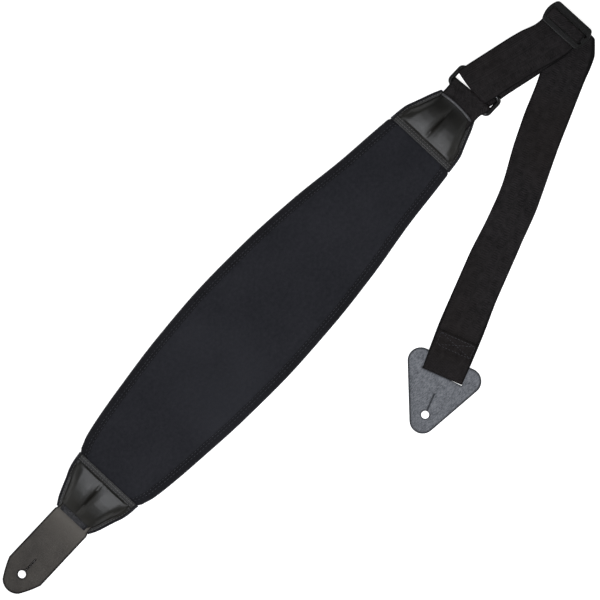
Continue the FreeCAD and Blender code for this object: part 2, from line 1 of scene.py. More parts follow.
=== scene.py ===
import math
import bpy
import bmesh
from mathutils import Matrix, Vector, noise
from mathutils.geometry import delaunay_2d_cdt


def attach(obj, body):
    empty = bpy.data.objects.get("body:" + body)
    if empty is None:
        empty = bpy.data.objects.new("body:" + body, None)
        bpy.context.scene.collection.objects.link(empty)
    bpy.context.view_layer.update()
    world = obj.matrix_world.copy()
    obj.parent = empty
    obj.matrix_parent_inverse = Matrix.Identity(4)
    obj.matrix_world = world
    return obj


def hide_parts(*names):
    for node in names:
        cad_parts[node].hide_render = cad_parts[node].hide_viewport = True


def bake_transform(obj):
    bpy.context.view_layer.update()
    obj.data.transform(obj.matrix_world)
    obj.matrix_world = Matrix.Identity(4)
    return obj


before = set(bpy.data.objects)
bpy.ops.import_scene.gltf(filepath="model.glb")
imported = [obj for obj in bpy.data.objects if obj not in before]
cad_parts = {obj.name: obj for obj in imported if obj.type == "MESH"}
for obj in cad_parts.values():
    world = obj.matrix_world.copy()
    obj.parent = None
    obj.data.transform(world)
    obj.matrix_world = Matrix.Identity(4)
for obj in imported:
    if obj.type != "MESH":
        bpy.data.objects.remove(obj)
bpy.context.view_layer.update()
scene = bpy.context.scene
MM = 0.001


# ---------- geometry helpers, all in millimetres ----------

def turned(heading, distance, sideways=0.0, start=(0.0, 0.0)):
    """The plan point at a distance from start, and sideways to the left, in a frame that heads in degrees."""
    a = math.radians(heading)
    return (start[0] + distance * math.cos(a) - sideways * math.sin(a),
            start[1] + distance * math.sin(a) + sideways * math.cos(a))


def ease(x, low=0.0, high=1.0):
    """A smooth step from 0 at low to 1 at high."""
    t = min(1.0, max(0.0, (x - low) / (high - low)))
    return t * t * (3 - 2 * t)


def spread(a, b, count):
    """Even steps from a to b, both included."""
    return [a + (b - a) * k / count for k in range(count + 1)]


def lengths(path):
    """The distance along a path at each of its points."""
    marks = [0.0]
    for a, b in zip(path, path[1:]):
        marks.append(marks[-1] + math.dist(a, b))
    return marks


def table(stations, x):
    """Smooth value at x from a list of (x, value): a monotone cubic through the stations."""
    x = min(max(x, stations[0][0]), stations[-1][0])
    i = max(k for k in range(len(stations) - 1) if stations[k][0] <= x)
    (x0, y0), (x1, y1) = stations[i], stations[i + 1]

    def rate(k):
        k = min(max(k, 0), len(stations) - 2)
        return (stations[k + 1][1] - stations[k][1]) / (stations[k + 1][0] - stations[k][0])

    def slope(k):
        a, b = rate(k - 1), rate(k)
        return 0.0 if a * b <= 0 else 2 * a * b / (a + b)

    h = x1 - x0
    t = (x - x0) / h
    return ((2 * t ** 3 - 3 * t ** 2 + 1) * y0 + (t ** 3 - 2 * t ** 2 + t) * h * slope(i)
            + (3 * t ** 2 - 2 * t ** 3) * y1 + (t ** 3 - t ** 2) * h * slope(i + 1))


def wobble(x, y, scale, seed=0.0):
    """Soft unevenness between about -1 and 1."""
    return noise.noise(Vector((x / scale, y / scale, seed)))


def mend(mesh, weld=0.0):
    """Turns all faces outwards and, where asked, joins points that are closer than weld."""
    work = bmesh.new()
    work.from_mesh(mesh)
    if weld:
        bmesh.ops.remove_doubles(work, verts=work.verts, dist=weld)
    bmesh.ops.recalc_face_normals(work, faces=work.faces)
    work.to_mesh(mesh)
    work.free()


def make(name, points, faces, materials, lanes=None, pick=None, sharp=42.0, rim=None):
    """A mesh piece from points in mm. lanes are (along, across) in mm, kept as a UV map in metres.

    pick names each face's material by its number, and rim is how far each point belongs to an edge painted darker as
    shade."""
    mesh = bpy.data.meshes.new(name)
    mesh.from_pydata([(x * MM, y * MM, z * MM) for x, y, z in points], [], faces)
    for material in materials:
        mesh.materials.append(material)
    if pick:
        for polygon, index in zip(mesh.polygons, pick):
            polygon.material_index = index
    if lanes is None:
        lanes = [(x, y) for x, y, z in points]
    uv = mesh.uv_layers.new(name="lanes")
    for loop in mesh.loops:
        u, v = lanes[loop.vertex_index]
        uv.data[loop.index].uv = (u * MM, v * MM)
    if rim:
        layer = mesh.attributes.new("rim", "FLOAT", "POINT")
        layer.data.foreach_set("value", rim)
    mend(mesh)
    mesh.polygons.foreach_set("use_smooth", [True] * len(mesh.polygons))
    mesh.set_sharp_from_angle(angle=math.radians(sharp))
    piece = bpy.data.objects.new(name, mesh)
    scene.collection.objects.link(piece)
    return piece


def shell(name, grid, materials, pick=None, sharp=42.0):
    """A closed piece whose grid has rows of (point on top, point underneath, lane)."""
    rows, cols = len(grid), len(grid[0])
    tops, bottoms, lanes = zip(*(cell for row in grid for cell in row))
    under = rows * cols
    faces, chosen = [], []
    for i in range(rows - 1):
        for j in range(cols - 1):
            a = i * cols + j
            faces.append((a, a + 1, a + cols + 1, a + cols))
            faces.append((under + a + cols, under + a + cols + 1, under + a + 1, under + a))
            chosen += [pick(i, j)] * 2 if pick else []
    ring = [(i, 0) for i in range(rows)] + [(rows - 1, j) for j in range(1, cols)]
    ring += [(i, cols - 1) for i in range(rows - 2, -1, -1)] + [(0, j) for j in range(cols - 2, 0, -1)]
    for (i, j), (k, l) in zip(ring, ring[1:] + ring[:1]):
        a, b = i * cols + j, k * cols + l
        faces.append((a, b, under + b, under + a))
        chosen += [pick(min(i, rows - 2), min(j, cols - 2))] if pick else []
    return make(name, tops + bottoms, faces, materials, lanes * 2, chosen, sharp)


SELVEDGE = [(0.0, 0.30), (0.005, 0.74), (0.014, 0.97), (0.03, 1.0), (0.05, 0.9)]
ACROSS = SELVEDGE + [(0.05 + 0.9 * k / 12, 0.96) for k in range(1, 12)] + [(1 - t, f) for t, f in reversed(SELVEDGE)]


def ribbon(name, stations, material, thick=1.3, warp=None, cut=None):
    """Webbing along stations of (left edge, right edge) at mid thickness; warp shifts a lane's points.

    cut is the material of the last strip, at the webbing's sealed end, which is painted near black as the shadow of its
    step."""
    grid = []
    edges = [(Vector(a), Vector(b)) for a, b in stations]
    middles = [(a + b) / 2 for a, b in edges]
    run = [0.0] * len(ACROSS)

    def place(i, t):
        p = edges[i][0].lerp(edges[i][1], t)
        return p + Vector(warp(i, t)) if warp else p

    for i, (left, right) in enumerate(edges):
        ahead = middles[min(i + 1, len(edges) - 1)] - middles[max(i - 1, 0)]
        side = right - left
        normal = side.cross(ahead).normalized()
        squeeze = 0.8 if i in (0, len(edges) - 1) else 1.0
        grid.append([])
        for k, (t, f) in enumerate(ACROSS):
            p = place(i, t)
            if i:
                run[k] += (p - place(i - 1, t)).length
            rise = normal * (thick / 2 * f * squeeze)
            grid[-1].append((tuple(p + rise), tuple(p - rise), (run[k], (t - 0.5) * side.length)))
    if cut:
        return shell(name, grid, [material, cut], lambda i, j: int(i == len(grid) - 2), sharp=60)
    return shell(name, grid, [material], sharp=60)


def sides(path, place, half):
    """Both edges of webbing along a path of (distance, height), each put in place by its offset."""
    return [tuple(place(s, z, n) for n in (half, -half)) for s, z in path]


def rounded(points, radius, step, gap):
    """A path through 2D corners, each turned with an arc, no gap between points longer than gap."""
    out = [Vector(points[0])]
    for i in range(1, len(points) - 1):
        a, b, c = (Vector(points[k]) for k in (i - 1, i, i + 1))
        back, on = (a - b), (c - b)
        turn = back.angle(on)
        if turn > math.radians(178):
            out.append(b)
            continue
        reach = min(radius / math.tan(turn / 2), back.length * 0.49, on.length * 0.49)
        p, q = b + back.normalized() * reach, b + on.normalized() * reach
        count = max(3, int((math.pi - turn) * radius / step) + 2)
        for k in range(count + 1):
            t = k / count
            out.append(p * (1 - t) ** 2 + b * 2 * t * (1 - t) + q * t * t)
    out.append(Vector(points[-1]))
    full = [out[0]]
    for p in out[1:]:
        jump = (p - full[-1]).length
        if jump < 1e-4:
            continue
        count = max(1, math.ceil(jump / gap))
        first = full[-1]
        full += [first.lerp(p, k / count) for k in range(1, count + 1)]
    return full


def inside(point, loop):
    """Whether a point lies within an outline."""
    x, y = point
    hit = False
    for (x0, y0), (x1, y1) in zip(loop, loop[1:] + loop[:1]):
        if (y0 > y) != (y1 > y) and x < (x1 - x0) * (y - y0) / (y1 - y0) + x0:
            hit = not hit
    return hit


def away(point, loop):
    """Distance from a point to an outline."""
    p = Vector(point)
    best = 1e9
    for a, b in zip(loop, loop[1:] + loop[:1]):
        a, b = Vector(a), Vector(b)
        run = b - a
        t = min(1.0, max(0.0, (p - a).dot(run) / max(run.length_squared, 1e-9)))
        best = min(best, (p - a - run * t).length)
    return best


def inset(loop, distance):
    """The outline moved to its left, into the material."""
    out = []
    count = len(loop)
    for i, p in enumerate(loop):
        run = (Vector(loop[(i + 1) % count]) - Vector(loop[i - 1])).normalized()
        out.append((p[0] - run.y * distance, p[1] + run.x * distance))
    return out


def even(loop, step):
    """A closed outline resampled so that no side is longer than step."""
    out = []
    for a, b in zip(loop, loop[1:] + loop[:1]):
        a, b = Vector(a), Vector(b)
        count = max(1, round((b - a).length / step))
        out += [tuple(a.lerp(b, k / count)) for k in range(count)]
    return out


def between(p, q, count):
    """Faces between two rings of count points each, whose first points are p and q."""
    return [(p + k, p + (k + 1) % count, q + (k + 1) % count, q + k) for k in range(count)]


def tube_faces(first, end, count):
    """Faces round a tube whose rings of count points have the numbers from first to before end."""
    faces = []
    for p in range(first, end - count, count):
        faces += between(p, p + count, count)
    return faces + [tuple(range(first, first + count)), tuple(range(end - 1, end - count - 1, -1))]


def within(point, loops):
    """Whether a point lies in the first outline and in none of the holes after it."""
    return inside(point, loops[0]) and not any(inside(point, hole) for hole in loops[1:])


def plate(name, outer, holes, top, bottom, material, place, edge, rim_width):
    """A flat piece of leather with rounded edges. outer runs anticlockwise, holes clockwise.

    top and bottom give the heights, place is (x, y, heading), and rim_width is how far in the darker edge of painted
    shade reaches."""
    grid = 1.6
    loops = [outer] + holes
    rings = [(0.0, edge), (edge * 0.13, edge * 0.5), (edge * 0.5, edge * 0.13), (edge, 0.0)]
    inner = [inset(loop, edge) for loop in loops]
    flat, borders = [], []
    for loop in inner:
        first = len(flat)
        flat += loop
        borders += [(first + k, first + (k + 1) % len(loop)) for k in range(len(loop))]
    xs, ys = [p[0] for p in outer], [p[1] for p in outer]
    y = min(ys) + grid / 2
    row = 0
    while y < max(ys):
        x = min(xs) + (grid / 2 if row % 2 else 0)
        while x < max(xs):
            p = (x + 0.01, y)
            if within(p, inner) and min(away(p, loop) for loop in inner) > grid * 0.45:
                flat.append(p)
            x += grid
        y += grid * 0.866
        row += 1
    verts, _, tris, _, _, _ = delaunay_2d_cdt([Vector(p) for p in flat], borders, [], 0, 1e-5)
    flat = [tuple(v) for v in verts]
    kept = [tri for tri in tris if within([sum(flat[k][axis] for k in tri) / 3 for axis in (0, 1)], inner)]
    points, faces, lanes, rim = [], [], [], []

    def add(p, z):
        x, y = turned(place[2], p[0], p[1], place[:2])
        points.append((x, y, z))
        lanes.append(p)
        cut = min([away(p, loop) for loop in loops[1:]] + [9.0])
        # Painted shade: darker towards the outline, where the edge turns down, and round the holes and slits, in their
        # walls.
        rim.append(max(0.95 * (1 - ease(away(p, outer), 0.45, rim_width)), 0.9 * (1 - ease(cut, 0.25, 0.9))))
        return len(points) - 1

    for surface, sign in ((top, 1), (bottom, -1)):
        index = [add(p, surface(*p)) for p in flat]
        faces += [tuple(index[k] for k in tri) for tri in kept]
        for loop in loops:
            previous = None
            for distance, drop in rings:
                ring = [add(p, surface(*q) - sign * drop) for p, q in zip(inset(loop, distance), loop)]
                if previous:
                    faces += between(previous[0], ring[0], len(ring))
                previous = ring
    half = len(points) // 2
    for loop_index, loop in enumerate(loops):
        first = len(flat) + sum(len(l) * len(rings) for l in loops[:loop_index])
        faces += between(first, half + first, len(loop))
    piece = make(name, points, faces, [material], lanes, None, 55, rim)
    mend(piece.data, 0.02 * MM)
    return piece


# along a stitch: the place, the thickness there and how far it has dipped
THREAD_RINGS = [(0.0, 0.35, 0.55), (0.06, 0.8, 0.3), (0.22, 1.0, 0.05), (0.5, 1.05, 0.0)]
THREAD_RINGS += [(1.0 - t, f, drop) for t, f, drop in reversed(THREAD_RINGS[:3])]


def stitches(name, rows, material, length, gap, radius, sink):
    """Rows of separate stitches along 3D paths; each is a short thread that dips at both ends."""
    points, faces = [], []
    for path in rows:
        path = [Vector(p) for p in path]
        marks = lengths(path)

        def at(s):
            s = min(max(s, 0.0), marks[-1])
            i = max(k for k in range(len(marks) - 1) if marks[k] <= s + 1e-9)
            span = marks[i + 1] - marks[i]
            return path[i].lerp(path[i + 1], (s - marks[i]) / span if span else 0.0)

        s = gap / 2
        while s + length < marks[-1]:
            a, b = at(s), at(s + length)
            run = (b - a).normalized()
            side = run.cross(Vector((0, 0, 1))).normalized()
            up = side.cross(run)
            first = len(points)
            for t, f, drop in THREAD_RINGS:
                centre = a.lerp(b, t) - up * (sink + drop * radius * 1.6)
                for k in range(6):
                    angle = math.pi * 2 * (k + 0.5) / 6
                    points.append(tuple(centre + side * math.cos(angle) * radius * f
                                        + up * math.sin(angle) * radius * f))
            faces += tube_faces(first, len(points), 6)
            s += length + gap
    return make(name, points, faces, [material], sharp=70)


# ---------- materials ----------

class Paint:
    """A node material built up by name; every call returns a socket to link on."""

    def __init__(self, name):
        self.material = bpy.data.materials.new(name)
        self.material.use_nodes = True
        self.nodes = self.material.node_tree.nodes
        self.links = self.material.node_tree.links
        self.shader = self.nodes["Principled BSDF"]

    def put(self, socket, value):
        """Links an output to the socket, or sets the socket's own value."""
        if isinstance(value, bpy.types.NodeSocket):
            self.links.new(value, socket)
        elif isinstance(value, tuple) and len(value) == 3 and socket.type == "RGBA":
            socket.default_value = (*value, 1.0)
        else:
            socket.default_value = value

    def add(self, kind, out=0, settings=None, **inputs):
        """A new node's output; inputs go by their name, or by their number after an underscore."""
        node = self.nodes.new("ShaderNode" + kind)
        for key, value in (settings or {}).items():
            setattr(node, key, value)
        for key, value in inputs.items():
            self.put(node.inputs[int(key[1:]) if key[0] == "_" else key.replace("_", " ")], value)
        return node.outputs[out]

    def math(self, operation, a, b=0.0, c=0.0, clamp=False):
        return self.add("Math", 0, {"operation": operation, "use_clamp": clamp}, _0=a, _1=b, _2=c)

    def times(self, a, b):
        return self.math("MULTIPLY", a, b)

    def plus(self, a, b):
        return self.math("ADD", a, b)

    def scaled(self, a, factor, offset):
        return self.math("MULTIPLY_ADD", a, factor, offset)

    def where(self):
        return self.add("TexCoord", "Object")

    def stretched(self, scale, rotation=(0.0, 0.0, 0.0)):
        return self.add("Mapping", Vector=self.where(), Rotation=rotation, Scale=scale)

    def lane(self):
        """The two coordinates along and across a piece."""
        uv = self.add("UVMap", 0, {"uv_map": "lanes"})
        return [self.add("SeparateXYZ", k, _0=uv) for k in (0, 1)]

    def noise(self, scale, detail=3.0, roughness=0.55, vector=None):
        return self.add("TexNoise", Vector=vector or self.where(), Scale=scale, Detail=detail, Roughness=roughness)

    def ramp(self, value, low, high):
        """From 0 at low to 1 at high."""
        return self.add("MapRange", Value=value, From_Min=low, From_Max=high)

    def mix(self, share, a, b):
        return self.add("Mix", 2, {"data_type": "RGBA"}, _0=share, _6=a, _7=b)

    def bump(self, height, distance, strength, under=None):
        """Relief that is distance metres deep, laid over the relief under it."""
        base = {} if under is None else {"Normal": under}
        return self.add("Bump", Height=height, Distance=distance, Strength=strength, **base)

    def rim(self):
        """How far a point belongs to a rim painted darker as shade: a tab's edge or a cap's flat border."""
        return self.add("Attribute", "Fac", {"attribute_name": "rim"})

    def finish(self, **inputs):
        for key, value in inputs.items():
            self.put(self.shader.inputs[key.replace("_", " ")], value)
        return self.material


def tone(r, g, b):
    """A linear colour from how it looks on a screen, 0 to 255."""
    return tuple((c / 255 / 12.92 if c <= 10 else ((c / 255 + 0.055) / 1.055) ** 2.4) for c in (r, g, b))


def knit(name, dark, light, worn, pitch=0.00085):
    """Smooth knitted cloth over foam: fine columns of loops, faint mottling, rubbed patches."""
    p = Paint(name)
    u, v = p.lane()
    column = p.math("SINE", p.times(v, 2 * math.pi / pitch))
    loops = p.math("SINE", p.plus(p.times(u, 2 * math.pi / (pitch * 1.25)), p.times(column, 1.1)))
    cloth = p.scaled(p.times(column, loops), 0.5, 0.5)
    fuzz = p.noise(2600, 2)
    fleck = p.noise(300, 3, 0.7)
    patch = p.plus(p.times(p.noise(21, 4, 0.6), 0.45), p.times(fleck, 0.55))
    broad = p.noise(6.5, 2, 0.5)
    base = p.mix(p.ramp(patch, 0.36, 0.66), dark, light)
    base = p.mix(p.times(p.ramp(broad, 0.52, 0.74), 0.45), base, worn)
    # Painted shade: the gaps between the loops, low in the relief, are darkened.
    base = p.mix(p.times(p.math("SUBTRACT", 1.0, cloth), 0.34), base, (0.0035, 0.0035, 0.005))
    height = p.plus(p.times(cloth, 0.6), p.times(fuzz, 0.5))
    soft = p.bump(p.noise(55, 3), 0.0006, 0.6)
    return p.finish(Base_Color=base, Roughness=p.scaled(fuzz, 0.2, 0.72), Specular_IOR_Level=0.18,
                    Sheen_Weight=0.10, Sheen_Roughness=0.5, Sheen_Tint=(0.6, 0.62, 0.72, 1.0),
                    Normal=p.bump(height, 0.00022, 0.85, soft))


def weave(name, dark, light):
    """Woven webbing: ribs along the length, broken into a herringbone, with both edges darkened almost to black as
    painted shade.
    """
    rib, twill = 0.00125, 0.0017
    p = Paint(name)
    u, v = p.lane()
    zig = p.math("PINGPONG", v, 0.0048)
    diagonal = p.math("SINE", p.times(p.plus(u, p.times(zig, 1.15)), 2 * math.pi / twill))
    ribs = p.math("SINE", p.times(v, 2 * math.pi / rib))
    cross = p.math("SINE", p.times(u, 2 * math.pi / (rib * 0.8)))
    cloth = p.scaled(diagonal, 0.34, p.scaled(p.times(ribs, cross), 0.2, 0.5))
    fuzz = p.noise(3100, 2)
    patch = p.noise(38, 4, 0.62)
    fleck = p.noise(230, 4, 0.72)
    # Painted shade and random tone: the relief (cloth) makes low threads darker and raised ones lighter, while patch
    # and fleck vary the tone at random.
    share = p.plus(p.times(cloth, 0.5), p.times(patch, 0.25))
    share = p.plus(share, p.times(fleck, 0.62))
    base = p.mix(p.ramp(share, 0.52, 0.86), dark, light)
    warm = p.ramp(p.noise(7.0, 2), 0.44, 0.6)
    base = p.mix(p.times(warm, 0.5), base, p.mix(share, tuple(c * 0.8 for c in dark), tone(31, 26, 24)))
    # Painted shade: the outer one to two millimetres of each edge turn almost black.
    selvedge_shade = p.math("SUBTRACT", p.math("ABSOLUTE", v), 0.0172)
    base = p.mix(p.times(p.math("DIVIDE", selvedge_shade, 0.0012, clamp=True), 0.85), base, (0.0, 0.0, 0.0))
    height = p.plus(cloth, p.times(fuzz, 0.25))
    soft = p.bump(p.noise(90, 2), 0.0005, 0.5)
    return p.finish(Base_Color=base, Roughness=p.scaled(fuzz, 0.25, 0.42), Specular_IOR_Level=0.08,
                    Sheen_Weight=0.03, Sheen_Roughness=0.4, Normal=p.bump(height, 0.00026, 0.9, soft))


def grained(name, dark, light, edge, rough, cell, depth, level, use_rim=True, soft=0.0004, pale=None):
    """Leather: pebbled grain with creases between the cells painted darker as shade, mottled tone, a darker rim of
    painted shade.

    depth and soft are the heights of the grain and of the broad waves; pale is (start, end, tint) along the piece."""
    p = Paint(name)
    swirl = p.add("TexNoise", 1, None, Vector=p.where(), Scale=420.0, Detail=2.0)
    stray = p.add("VectorMath", 0, {"operation": "SCALE"}, _0=swirl, Scale=0.00035)
    where = p.add("VectorMath", 0, {"operation": "ADD"}, _0=p.where(), _1=stray)
    cells = p.add("TexVoronoi", 0, {"feature": "DISTANCE_TO_EDGE"}, Vector=where, Scale=1 / cell)
    crack = p.ramp(cells, 0.0, 0.16)
    pores = p.noise(2400, 2)
    patch = p.noise(46, 5, 0.62)
    broad = p.noise(17, 3, 0.5)
    base = p.mix(p.ramp(patch, 0.34, 0.68), dark, light)
    # Painted shade: the creases between the grain cells are darkened towards the edge colour.
    base = p.mix(p.times(p.math("SUBTRACT", 1.0, crack), 0.38), base, edge)
    if pale:
        start, end, tint = pale
        along = p.math("DIVIDE", p.math("SUBTRACT", p.lane()[0], start), end - start, clamp=True)
        base = p.mix(p.times(along, 0.75), base, tint)
    if use_rim:
        # Painted shade along the rim; the rim also shines less.
        base = p.mix(p.rim(), base, edge)
        level = p.scaled(p.rim(), -0.8 * level, level)
    height = p.plus(p.times(crack, 0.8), p.times(pores, 0.35))
    under = p.bump(broad, soft * 4, 0.5, p.bump(patch, soft, 0.5))
    rough_now = p.plus(p.scaled(patch, 0.16, rough - 0.08), p.times(crack, -0.05))
    return p.finish(Base_Color=base, Roughness=rough_now, Specular_IOR_Level=level,
                    Normal=p.bump(height, depth, 0.8, under))


def napped(name, dark, light, edge):
    """Suede: short brushed fibres, cloudy direction changes, a darker rim of painted shade."""
    p = Paint(name)
    fibre = p.noise(420, 5, 0.75, p.stretched((1.0, 2.6, 1.0), (0.0, 0.0, 0.6)))
    grain = p.noise(1500, 2, 0.5)
    cloud = p.noise(150, 6, 0.72)
    broad = p.noise(19, 3, 0.5)
    share = p.plus(p.times(cloud, 0.32), p.times(fibre, 0.72))
    base = p.mix(p.ramp(share, 0.43, 0.61), dark, light)
    base = p.mix(p.times(p.ramp(broad, 0.5, 0.72), 0.35), base, light)
    # Painted shade along the rim, round the holes and the slot.
    base = p.mix(p.rim(), base, edge)
    height = p.plus(p.times(fibre, 0.7), p.times(grain, 0.4))
    return p.finish(Base_Color=base, Roughness=0.94, Specular_IOR_Level=0.12, Sheen_Weight=0.22, Sheen_Roughness=0.55,
                    Sheen_Tint=(0.82, 0.88, 1.0, 1.0), Normal=p.bump(height, 0.0003, 0.8, p.bump(cloud, 0.0007, 0.5)))


def enamel(name, colour, worn, rough):
    """Black enamel over a metal ring: orange-peel, hairline rubs and small chips of a greyer layer."""
    p = Paint(name)
    peel = p.noise(520, 2, 0.5)
    rubs = p.noise(1500, 3, 0.6, p.stretched((0.12, 1.0, 1.0)))
    spots = p.noise(240, 5, 0.7)
    base = p.mix(p.ramp(spots, 0.66, 0.72), colour, worn)
    rough_now = p.plus(p.times(p.ramp(rubs, 0.5, 0.78), 0.16), rough)
    return p.finish(Base_Color=base, Roughness=rough_now, Specular_IOR_Level=0.3, Coat_Weight=0.08, Coat_Roughness=0.12,
                    Normal=p.bump(peel, 0.00012, 0.5))


def moulded(name, colour, scuffed):
    """Moulded plastic: a fine spark texture, flow marks, lighter scuffs where webbing rubs."""
    p = Paint(name)
    spark = p.noise(2600, 3, 0.6)
    flow = p.noise(60, 3, 0.5, p.stretched((3.0, 0.5, 1.0)))
    scuff = p.noise(300, 5, 0.75, p.stretched((1.0, 0.25, 1.0)))
    base = p.mix(p.ramp(flow, 0.35, 0.7), colour, tuple(c * 1.5 for c in colour))
    base = p.mix(p.times(p.ramp(scuff, 0.6, 0.76), 0.5), base, scuffed)
    return p.finish(Base_Color=base, Roughness=p.scaled(spark, 0.2, 0.24), Specular_IOR_Level=0.2,
                    Normal=p.bump(spark, 0.00009, 0.6, p.bump(flow, 0.0004, 0.4)))


def spun(name, dark, light):
    """Twisted sewing thread with a slight sheen."""
    p = Paint(name)
    twist = p.add("TexWave", 0, {"bands_direction": "DIAGONAL"}, Vector=p.where(), Scale=900.0, Distortion=2.0)
    base = p.mix(twist, dark, light)
    return p.finish(Base_Color=base, Roughness=p.scaled(p.noise(2000, 2), 0.2, 0.4), Specular_IOR_Level=0.4,
                    Sheen_Weight=0.15, Normal=p.bump(twist, 0.00012, 0.7))


pad_cloth = knit("pad_knit", tone(22, 23, 28), tone(36, 36, 41), tone(43, 44, 49))
back_cloth = knit("backing_knit", tone(20, 20, 23), tone(30, 30, 33), tone(38, 38, 40), 0.0011)
binding_cloth = knit("binding_knit", tone(9, 9, 12), tone(24, 24, 28), tone(30, 31, 35), 0.0007)
webbing = weave("webbing_weave", tone(2, 2, 2), tone(42, 39, 40))
# The sealed cut end of the webbing: near black, darker than the sealing alone, as painted shadow of the flap's step.
sealed_end_shadow_webbing = weave("webbing_sealed_end_shadow", tone(1, 1, 1), tone(6, 6, 6))
# The third colour of each leather and of the suede is painted shade for creases and rims.
cap_hide = grained("cap_leather", tone(12, 12, 8), tone(24, 22, 16), tone(9, 9, 9), 0.50, 0.0009, 0.00004, 0.42,
                   soft=0.00005)
tab_hide = grained("tab_leather", tone(52, 48, 44), tone(70, 66, 61), tone(6, 5, 5), 0.58, 0.0010, 0.00020, 0.3,
                   pale=(0.034, 0.062, tone(90, 86, 80)))
suede = napped("suede_nap", tone(76, 78, 82), tone(120, 122, 126), tone(20, 22, 25))
ring_enamel = enamel("ring_enamel", tone(4, 4, 4), tone(22, 21, 21), 0.26)
slider_plastic = moulded("slider_plastic", tone(3, 3, 2), tone(22, 18, 14))
thread_dark = spun("thread_dark", tone(20, 20, 25), tone(40, 41, 49))
thread_cap = spun("thread_cap", tone(52, 51, 50), tone(100, 98, 96))
piping_hide = grained("piping_leather", tone(58, 58, 60), tone(78, 78, 80), tone(30, 30, 31), 0.4, 0.0007, 0.00006, 0.4,
                      False, 0.0001)
hem_hide = grained("hem_leather", tone(12, 12, 15), tone(24, 24, 29), tone(6, 6, 7), 0.42, 0.0007, 0.00006, 0.3,
                   False, 0.0001)


# ---------- the pad ----------

PAD_HALF = [(92, 33.0), (112, 35.2), (128, 40.2), (152, 44.2), (177, 47.2), (232, 52.4), (290, 54.7), (345, 53.1),
            (400, 48.5), (457, 40.8), (492, 37.5), (514, 35.2), (530, 33.4)]
TAIL_HALF = [(65, 18.9), (72, 22.9), (80, 26.1), (88, 29.0), (96, 32.2), (104, 34.0), (112, 34.9), (116, 35.6)]
HEAD_HALF = [(508, 35.9), (512, 35.2), (520, 34.3), (528, 33.0), (536, 30.0), (544, 26.9), (552, 23.8), (560, 20.1)]
PAD_FROM, PAD_TO = 104.0, 520.0
BINDING_FROM, BINDING_TO = 108.0, 516.0
SEAM_FROM, SEAM_TO = 113.6, 510.6
ROWS_IN = (5.5, 8.0)  # the two seams of the binding, from the pad's edge
BOUND = 9.0  # how far the binding reaches in
ROUND = 2.6  # the radius of the pad's edge


def mid(x):
    """The middle line of the pad, which bows a little to the left."""
    return 3.5 - ((x - 370) / 176.7) ** 2


def pad_half(x):
    """Half the pad's width, narrower where it goes into the caps."""
    half = table(PAD_HALF, x)
    if x < 116:
        half = min(half, table(TAIL_HALF, x) - 1.6 * (1 - ease(x, 111, 116)))
    if x > 508:
        half = min(half, table(HEAD_HALF, x) - 1.6 * ease(x, 508, 513))
    return half


def pad_lift(x):
    """How far the pad's underside rises to pass over the caps' back panels."""
    return 1.35 * (1 - ease(x, 112, 146)) + 1.35 * ease(x, 478, 512)


def pad_faces(x, n):
    """Underside and top of the padded body, n from the middle line, before the binding."""
    e = pad_half(x) - abs(n)
    plump = 0.35 * ease(e, 14, 40) + 0.16 * wobble(x, n, 37.0, 2.0) * ease(e, 6, 16)
    top = 5.2 + 1.2 * ease(e, 5, 20) * (1 - 0.35 * ease(abs(x - 312), 150, 205)) + plump
    top = min(top, 6.35 + plump)
    low = pad_lift(x) + 0.4 - 0.4 * ease(e, 9, 16)
    for row in ROWS_IN:
        dip = 0.34 * math.exp(-((e - row) / 0.62) ** 2)
        top -= dip
        low += dip * 0.5
    return close_edge(low, top, e, ROUND, (top + low) / 2)


def close_edge(low, top, e, radius, middle):
    """Brings underside and top together at the outline, e inside it, in a round edge."""
    if e >= radius:
        return low, top
    turn = math.sqrt(max(0.0, 1 - (1 - max(e, 0.0) / radius) ** 2))
    return middle + (low - middle) * turn, middle + (top - middle) * turn


def across_from(half, insets, count):
    """Offsets from the left edge to the right: close together in the edges, then count even steps."""
    inner = half - insets[-1]
    left = [half - e for e in insets]
    return left + [inner * (1 - 2 * k / count) for k in range(1, count)] + [-n for n in reversed(left)]


def pad_piece():
    """The padded body as one closed skin, with the facing above and the backing below."""
    insets = [0.0, 0.12, 0.4, 0.9, 1.6, 2.6, 3.6, 4.5, 5.0, 5.5, 6.0, 6.75, 7.5, 8.0, 8.5, 9.2, 10.5, 12.5, 15.5, 19.0]
    recess = 0.42  # the cloth ends this far inside the binding
    grid = []
    for x in spread(PAD_FROM, PAD_TO, 168):
        half = pad_half(x) - recess
        grid.append([])
        for n in across_from(half, insets, 14):
            at_edge = math.copysign(min(abs(n) + recess, pad_half(x)), n)
            under, over = pad_faces(x, at_edge if abs(n) > half - 3 else n)
            grid[-1].append(((x, mid(x) + n, over), (x, mid(x) + n, under), (x, n)))
    piece = shell("pad", grid, [pad_cloth, back_cloth], sharp=75)
    for polygon in piece.data.polygons:
        if polygon.normal.z < -0.3:
            polygon.material_index = 1
    return piece


